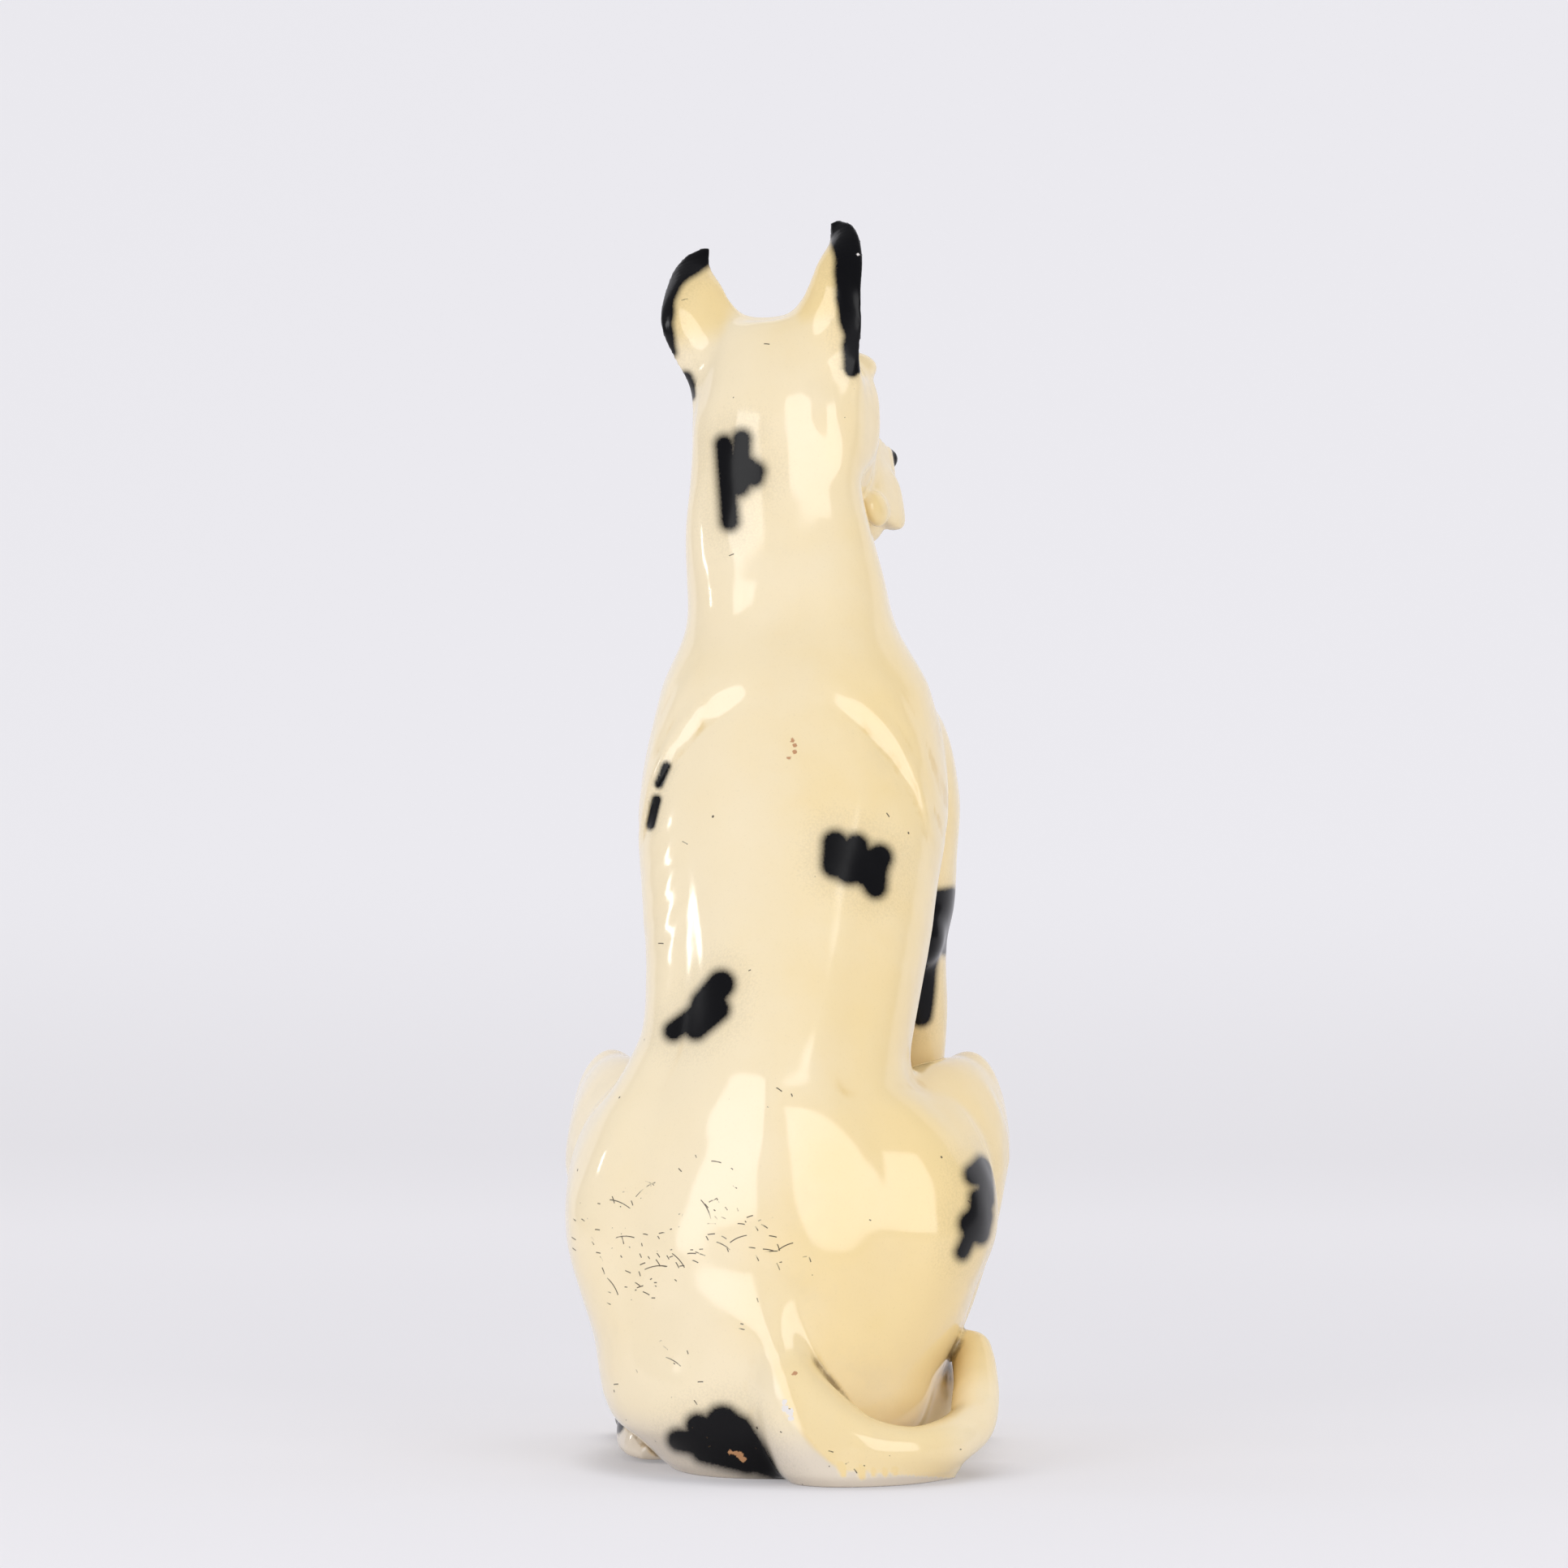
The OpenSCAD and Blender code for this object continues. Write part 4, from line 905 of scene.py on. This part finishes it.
def worn_mask(normals, pixel):
    """Where the glaze is scratched"""
    worn = np.zeros(len(pixel))
    for x, y, wide, high, strength in WORN:
        r = np.hypot((pixel[:, 0] - x) / wide, (pixel[:, 1] - y) / high)
        worn = np.maximum(worn, strength * fade(r, 1.15, 0.6))
    return worn * seen_from_camera(normals)


def pool_masks(skin, points):
    """How hollow the surface is: where glaze gathers, and creases low down that are painted dark brown"""
    k = max(1, int(round(4 / STEP)))
    gap = skin.gap
    bend = np.zeros_like(gap)
    inner = (slice(k, -k),) * 3
    for axis in range(3):
        ahead, behind = [list(inner), list(inner)]
        ahead[axis], behind[axis] = slice(2 * k, None), slice(None, -2 * k)
        bend[inner] += gap[tuple(ahead)] + gap[tuple(behind)] - 2 * gap[inner]
    bend /= (k * STEP) ** 2
    hollow = skin.at(bend, points)[:, 0]
    return {
        "pool": fade(hollow, -0.024, -0.075) * fade(points[:, 2], 600, 500),
        "crease": fade(hollow, -0.07, -0.16) * fade(points[:, 2], 200, 140),
    }


# Chips: place in photograph pixels, radius in millimetres, and what shows: clay (1) or white slip (0)
CHIPS = (
    (978, 914, 1.4, 1), (979, 919, 1.5, 1), (978, 925, 1.7, 1), (973, 934, 1.4, 1),
    (900, 1789, 1.8, 1), (907, 1789, 1.8, 1), (913, 1792, 2.4, 1), (915, 1798, 2.0, 1),
    (965, 1728, 2.0, 0), (968, 1734, 2.4, 0), (972, 1741, 2.4, 0), (975, 1748, 1.8, 0),
    (978, 1692, 1.5, 1), (1058, 313, 1.2, 0),
)


def build():
    """Skin of the figure: points, normals, quads, castings and masks"""
    skin = make_skin()
    points, quads = skin_mesh(skin)
    points, normals = settle(skin, points)
    place = np.rint((points - np.array([a[0] for a in skin.axes])) / STEP).astype(int)
    place = np.clip(place, 0, np.array(skin.part.shape) - 1)
    part = skin.part[place[:, 0], place[:, 1], place[:, 2]].astype(int)
    level = np.select([points[:, 2] < h for h in (SLAB_T, WAIST_Z, NECK_BASE_Z, NECK_TOP_Z)],
                      (SLAB, HINDQUARTERS, CHEST, NECK), HEAD)
    part = np.where(part == HINDQUARTERS, level, part)
    pixel = photo_pixels(points)
    warm, thin = warm_mask(points, normals, part, pixel)
    masks = {
        "black": black_mask(points, normals, part),
        "warm": warm,
        "thin": thin,
        "worn": worn_mask(normals, pixel),
        **pool_masks(skin, points),
    }
    chips = [(points[pixel_index(points, normals, pixel, c[:2])], c[2], c[3]) for c in CHIPS]
    return points, normals, quads, part, masks, chips


# How far the inner face lies below the skin
WALL = 1.2


def piece_mesh(name, points, normals, quads, masks):
    """One casting's stretch of the skin, closed by an inner face a little below it"""
    used = np.unique(quads)
    number = np.full(len(points), -1)
    number[used] = np.arange(len(used))
    faces = number[quads]
    outer, away = points[used], normals[used]
    n = len(used)
    edges = np.concatenate([faces[:, [k, (k + 1) % 4]] for k in range(4)])
    both = {tuple(e) for e in edges.tolist()}
    rim = [(a, b) for a, b in edges.tolist() if (b, a) not in both]
    bridge = np.array([(b, a, a + n, b + n) for a, b in rim], int).reshape(-1, 4)
    all_faces = np.concatenate([faces, faces[:, ::-1] + n, bridge])
    all_points = np.concatenate([outer, outer - WALL * away]) * MM
    mesh = bpy.data.meshes.new(name)
    mesh.from_pydata(all_points.tolist(), [], all_faces.tolist())
    mesh.shade_smooth()
    mesh.normals_split_custom_set_from_vertices(np.concatenate([away, -away]).tolist())
    for label, values in masks.items():
        layer = mesh.attributes.new(label, "FLOAT", "POINT")
        own = values[used].astype(np.float32)
        layer.data.foreach_set("value", np.concatenate([own, own]))
    mesh.update()
    piece = bpy.data.objects.new(name, mesh)
    bpy.context.scene.collection.objects.link(piece)
    return piece


class Nodes:
    """Nodes and links of one material"""

    def __init__(self, material):
        material.use_nodes = True
        self.tree = material.node_tree
        self.tree.nodes.clear()

    def add(self, kind, inputs=None, **settings):
        node = self.tree.nodes.new("ShaderNode" + kind)
        for key, value in settings.items():
            setattr(node, key, value)
        for key, value in (inputs or {}).items():
            self.put(node.inputs[key], value)
        return node

    def put(self, socket, value):
        if isinstance(value, bpy.types.NodeSocket):
            self.tree.links.new(value, socket)
        else:
            socket.default_value = value


# Colours of glaze, paint, dirt, clay and eyes; the thin glaze colour also carries painted shade near the
# floor, and one dark brown is laid in creases low down
CREAM, BUTTER, AMBER = (0.90, 0.775, 0.545, 1), (0.87, 0.68, 0.345, 1), (0.70, 0.46, 0.12, 1)
PALE, GREY = (0.87, 0.78, 0.61, 1), (0.50, 0.46, 0.38, 1)
PAINT, DIRT, THIN_AND_SHADED = (0.004, 0.004, 0.005, 1), (0.05, 0.032, 0.016, 1), (0.74, 0.655, 0.54, 1)
CREASE_BROWN = (0.20, 0.13, 0.06, 1)
CLAY, SLIP = (0.52, 0.27, 0.13, 1), (0.80, 0.76, 0.74, 1)
EYE_BLACK, EYE_BROWN = (0.012, 0.009, 0.008, 1), (0.035, 0.018, 0.010, 1)


def masked(n, factor, low, high, curve="SMOOTHSTEP"):
    """Factor stretched so that low gives 0 and high gives 1"""
    ends = {"Value": factor, "From Min": low, "From Max": high}
    return n.add("MapRange", ends, interpolation_type=curve).outputs["Result"]


def math_node(n, kind, *values):
    """One sum on sockets and numbers"""
    return n.add("Math", dict(enumerate(values)), operation=kind).outputs[0]


def times(n, a, b):
    """Product of two sockets or numbers"""
    return math_node(n, "MULTIPLY", a, b)


def over(n, factor, under, colour):
    """A colour laid over another by a mask"""
    layers = {"Factor": factor, "A": under, "B": colour}
    return n.add("Mix", layers, data_type="RGBA").outputs["Result"]


def noise(n, place, scale, detail=4.0, rough=0.55):
    """Cloudy pattern"""
    inputs = {"Vector": place, "Scale": scale, "Detail": detail, "Roughness": rough}
    return n.add("TexNoise", inputs).outputs["Fac"]


def mask_of(n, name):
    """A mask on the skin's points"""
    return n.add("Attribute", attribute_name=name).outputs["Fac"]


# Scratches: cells to a metre, length in metres, least chance of a stroke, and the chance that wear adds
STROKES = ((26.0, 0.026, 0.0, 0.9), (62.0, 0.011, 0.0, 0.7), (150.0, 0.003, 0.004, 0.7))
STROKE_WIDTH = 0.0005
STROKE_SPREAD, STROKE_SLOPE, STROKE_BOW = 1.9, -0.6, 22.0


def scratches(n, place):
    """Fine dark strokes, one in a cell at most, and more of them where the glaze is worn"""
    axes = n.add("SeparateXYZ", {"Vector": place})
    flat = n.add("CombineXYZ", {"X": axes.outputs["X"], "Y": axes.outputs["Z"]}).outputs[0]
    clumps = masked(n, noise(n, place, 22.0, 3.0), 0.42, 0.62)
    worn = times(n, mask_of(n, "worn"), clumps)
    lines = []
    for scale, length, least, more in STROKES:
        cells = n.add("TexVoronoi", {"Vector": flat, "Scale": scale}, voronoi_dimensions="2D")
        dice = n.add("SeparateColor", {"Color": cells.outputs["Color"]})
        away = n.add("VectorMath", {0: flat, 1: cells.outputs["Position"]}, operation="SUBTRACT")
        angle = math_node(n, "MULTIPLY_ADD", dice.outputs[0], STROKE_SPREAD, STROKE_SLOPE)
        spin = {"Vector": away.outputs[0], "Angle": angle}
        turned = n.add("VectorRotate", spin, rotation_type="Z_AXIS")
        stroke = n.add("SeparateXYZ", {"Vector": turned.outputs[0]})
        bow = times(n, times(n, stroke.outputs["X"], stroke.outputs["X"]), STROKE_BOW)
        across = math_node(n, "ABSOLUTE", math_node(n, "ADD", stroke.outputs["Y"], bow))
        along = math_node(n, "ABSOLUTE", stroke.outputs["X"])
        line = masked(n, across, STROKE_WIDTH, 0.4 * STROKE_WIDTH)
        end = math_node(n, "LESS_THAN", along, times(n, dice.outputs[1], length))
        chance = math_node(n, "MULTIPLY_ADD", worn, more, least)
        there = math_node(n, "LESS_THAN", dice.outputs[2], chance)
        broken = masked(n, noise(n, place, 70.0, 3.0), 0.34, 0.5)
        lines.append(times(n, times(n, line, end), times(n, there, broken)))
    return math_node(n, "MAXIMUM", math_node(n, "MAXIMUM", lines[0], lines[1]), lines[2])


def pinholes(n, place):
    """Brown pits here and there"""
    cells = n.add("TexVoronoi", {"Vector": place, "Scale": 70.0})
    dot = masked(n, cells.outputs["Distance"], 0.085, 0.05)
    some = n.add("SeparateColor", {"Color": cells.outputs["Color"]})
    return times(n, dot, math_node(n, "GREATER_THAN", some.outputs[0], 0.93))


def chips_of(n, place, chips, kind):
    """Ragged patches about the chips of a kind"""
    ragged = times(n, math_node(n, "SUBTRACT", noise(n, place, 420.0, 3.0), 0.5), 0.004)
    best = None
    for at, size, bare in chips:
        if bare != kind:
            continue
        away = n.add("VectorMath", {0: place, 1: tuple(at * MM)}, operation="DISTANCE")
        gap = math_node(n, "SUBTRACT", away.outputs["Value"], size * MM)
        best = gap if best is None else math_node(n, "MINIMUM", best, gap)
    return masked(n, math_node(n, "ADD", best, ragged), 0.0004, -0.0004)


def glaze_material(name, base, chips):
    """Cream gloss glaze: pooled yellow, sprayed black, scratches, pits and chips"""
    material = bpy.data.materials.new(name)
    n = Nodes(material)
    place = n.add("TexCoord").outputs["Object"]
    cloud = noise(n, place, 11.0, 6.0)
    uneven = times(n, math_node(n, "SUBTRACT", cloud, 0.5), 0.9)
    warm = math_node(n, "ADD", mask_of(n, "warm"), uneven)
    colour = over(n, masked(n, warm, 0.0, 1.0), base, BUTTER)
    # Thin glaze near the floor, greyer and darker: partly painted shade
    colour = over(n, mask_of(n, "thin"), colour, THIN_AND_SHADED)
    pool = times(n, mask_of(n, "pool"), masked(n, noise(n, place, 45.0), 0.3, 0.7))
    colour = over(n, times(n, pool, 0.55), colour, AMBER)
    # Dark brown in the creases low down
    crease = times(n, mask_of(n, "crease"), masked(n, noise(n, place, 90.0), 0.3, 0.6))
    colour = over(n, times(n, crease, 0.75), colour, CREASE_BROWN)
    grime = times(n, masked(n, noise(n, place, 6.0, 8.0, 0.65), 0.55, 0.8), 0.28)
    colour = over(n, grime, colour, GREY)
    spray = times(n, math_node(n, "SUBTRACT", noise(n, place, 700.0, 2.0), 0.5), 0.22)
    black = masked(n, math_node(n, "ADD", mask_of(n, "black"), spray), 0.02, 0.92, "LINEAR")
    colour = over(n, black, colour, PAINT)
    marks = math_node(n, "MAXIMUM", scratches(n, place), pinholes(n, place))
    colour = over(n, times(n, marks, 0.95), colour, DIRT)
    clay = chips_of(n, place, chips, 1)
    slip = chips_of(n, place, chips, 0)
    colour = over(n, slip, over(n, clay, colour, CLAY), SLIP)
    bare = math_node(n, "MAXIMUM", math_node(n, "MAXIMUM", clay, slip), times(n, marks, 0.7))
    rough = math_node(n, "ADD", 0.06, times(n, noise(n, place, 25.0, 6.0), 0.09))
    rough = math_node(n, "ADD", rough, times(n, bare, 0.5))
    rough = math_node(n, "ADD", rough, times(n, black, 0.1))
    peel = math_node(n, "ADD", times(n, noise(n, place, 130.0, 2.0), 0.5), times(n, bare, -0.8))
    bump = n.add("Bump", {"Height": peel, "Strength": 0.12, "Distance": 0.0006})
    gloss = math_node(n, "SUBTRACT", 0.55, times(n, black, 0.38))
    shader = n.add("BsdfPrincipled", {
        "Base Color": colour,
        "Roughness": rough,
        "Specular IOR Level": gloss,
        "Normal": bump.outputs["Normal"],
    })
    n.add("OutputMaterial", {"Surface": shader.outputs["BSDF"]})
    return material


def eye_material():
    """Black gloss glaze, a little brown where it is thin"""
    material = bpy.data.materials.new("black_glaze")
    n = Nodes(material)
    place = n.add("TexCoord").outputs["Object"]
    colour = over(n, masked(n, noise(n, place, 160.0), 0.4, 0.7), EYE_BLACK, EYE_BROWN)
    rough = math_node(n, "ADD", 0.06, times(n, noise(n, place, 300.0), 0.06))
    shader = n.add("BsdfPrincipled", {"Base Color": colour, "Roughness": rough, "Coat Weight": 1.0})
    n.add("OutputMaterial", {"Surface": shader.outputs["BSDF"]})
    return material


def add_pieces():
    """One piece for each casting"""
    points, normals, quads, part, masks, chips = build()
    glaze = glaze_material("cream_glaze", CREAM, chips)
    rim = glaze_material("pale_rim", PALE, chips)
    eye_glaze = eye_material()
    corners = part[quads]
    face_part = np.max(corners, axis=1)
    for number, node in enumerate(NODE_NAMES):
        own = quads[face_part == number]
        piece = piece_mesh(f"{node}_skin", points, normals, own, masks)
        piece.data.materials.append(rim if number == SLAB else glaze)
        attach(piece, "root")
        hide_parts(node)
    for node, side in (("left_eye", LEFT), ("right_eye", RIGHT)):
        at = from_head((side * EYE_AT[0], EYE_AT[1], EYE_AT[2])) * MM
        bpy.ops.mesh.primitive_uv_sphere_add(segments=32, ring_count=16, radius=EYE_D / 2 * MM, location=at)
        eye = bpy.context.object
        eye.name = f"{node}_ball"
        eye.data.shade_smooth()
        eye.data.materials.append(eye_glaze)
        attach(eye, "root")
        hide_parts(node)


# What the camera sees of the paper: floor and backdrop, and its own colour
FLOOR_GLOW, BACK_GLOW = (0.89, 0.875, 0.915, 1), (0.965, 0.955, 1.0, 1)
PAPER = (0.76, 0.75, 0.78, 1)
# Shade on the floor close to the figure
CONTACT_REACH, CONTACT_SHADE = 0.05, (0.56, 0.54, 0.55, 1)


def add_stage():
    """Floor that sweeps up into a backdrop"""
    width, front, bend, radius, top = 12.0, -7.0, 3.2, 1.2, 6.0
    angles = np.linspace(0, math.pi / 2, 17)
    profile = [(front, 0.0)]
    profile += [(bend + radius * math.sin(a), radius * (1 - math.cos(a))) for a in angles]
    profile.append((bend + radius, top))
    verts = [(x, y, z) for y, z in profile for x in (-width / 2, width / 2)]
    faces = [(2 * i, 2 * i + 1, 2 * i + 3, 2 * i + 2) for i in range(len(profile) - 1)]
    mesh = bpy.data.meshes.new("sweep")
    mesh.from_pydata(verts, [], faces)
    mesh.shade_smooth()
    sweep = bpy.data.objects.new("sweep", mesh)
    bpy.context.scene.collection.objects.link(sweep)
    material = bpy.data.materials.new("sweep_paper")
    n = Nodes(material)
    path = n.add("LightPath")
    mirrored = math_node(n, "MAXIMUM", path.outputs["Is Glossy Ray"], path.outputs["Is Transmission Ray"])
    shown = math_node(n, "MAXIMUM", path.outputs["Is Camera Ray"], mirrored)
    position = n.add("NewGeometry").outputs["Position"]
    away = n.add("VectorMath", {0: position}, operation="LENGTH").outputs["Value"]
    glowing = math_node(n, "MULTIPLY_ADD", masked(n, away, 0.5, 2.2), 0.3, 0.48)
    share = times(n, shown, glowing)
    paper = n.add("BsdfDiffuse", {"Color": PAPER})
    height = n.add("SeparateXYZ", {"Vector": position}).outputs["Z"]
    tone = over(n, masked(n, height, -0.05, 0.35), FLOOR_GLOW, BACK_GLOW)
    near = n.add("AmbientOcclusion", {"Distance": CONTACT_REACH}, samples=8).outputs["AO"]
    tone = over(n, masked(n, near, 0.95, 0.45), tone, CONTACT_SHADE)
    glow = n.add("Emission", {"Color": tone, "Strength": 1.0})
    mixed = n.add("MixShader", {0: share, 1: paper.outputs[0], 2: glow.outputs[0]})
    n.add("OutputMaterial", {"Surface": mixed.outputs[0]})
    mesh.materials.append(material)


def add_lamp(name, at, target, size, power, mirrored=True):
    """Softbox that points at a target; it may stay out of reflections"""
    light = bpy.data.lights.new(name, "AREA")
    light.shape = "RECTANGLE"
    light.size, light.size_y = size
    light.energy = power
    lamp = bpy.data.objects.new(name, light)
    lamp.location = at
    lamp.visible_glossy = mirrored
    aim = np.array(target) - np.array(at)
    flat = math.hypot(aim[0], aim[1])
    lamp.rotation_euler = (math.pi / 2 + math.atan2(aim[2], flat), 0, math.atan2(-aim[0], aim[1]))
    bpy.context.scene.collection.objects.link(lamp)


def add_light():
    """Tall softboxes either side of the camera, a narrow one on the left, and a pale room"""
    middle = (0, 0, 0.45)
    add_lamp("left_box", (-1.6, -2.1, 1.1), middle, (1.9, 1.8), 33)
    add_lamp("right_box", (1.9, -1.9, 1.1), middle, (2.0, 1.8), 34)
    add_lamp("left_strip", (-2.2, 0.0, 0.98), middle, (0.14, 0.3), 1.8)
    add_lamp("front_fill", (0.1, -2.6, 2.2), middle, (2.0, 1.2), 6, mirrored=False)
    for side in (LEFT, RIGHT):
        add_lamp(f"side_fill_{side}", (2.3 * side, 0.2, 0.9), middle, (1.2, 1.4), 9, mirrored=False)
    add_lamp("top_box", (0.0, 1.1, 2.8), middle, (3.0, 1.6), 38, mirrored=False)
    world = bpy.data.worlds.new("room")
    bpy.context.scene.world = world
    world.use_nodes = True
    back = world.node_tree.nodes["Background"]
    back.inputs["Color"].default_value = (0.80, 0.80, 0.85, 1)
    back.inputs["Strength"].default_value = 0.3


def add_camera():
    """Camera of the photograph"""
    data = bpy.data.cameras.new("camera")
    data.sensor_width = SENSOR
    data.lens = CAMERA_FOCUS / PHOTO_SIZE * SENSOR
    data.clip_end = 100
    camera = bpy.data.objects.new("camera", data)
    c, s = math.cos(CAMERA_TURN), math.sin(CAMERA_TURN)
    camera.location = (
        (CAMERA_DISTANCE * s + CAMERA_ASIDE * c) * MM,
        (CAMERA_ASIDE * s - CAMERA_DISTANCE * c) * MM,
        CAMERA_HEIGHT * MM,
    )
    camera.rotation_euler = (math.pi / 2, 0, CAMERA_TURN)
    bpy.context.scene.collection.objects.link(camera)
    bpy.context.scene.camera = camera


add_camera()
add_light()
add_stage()
add_pieces()
bpy.context.scene.view_settings.view_transform = "Standard"
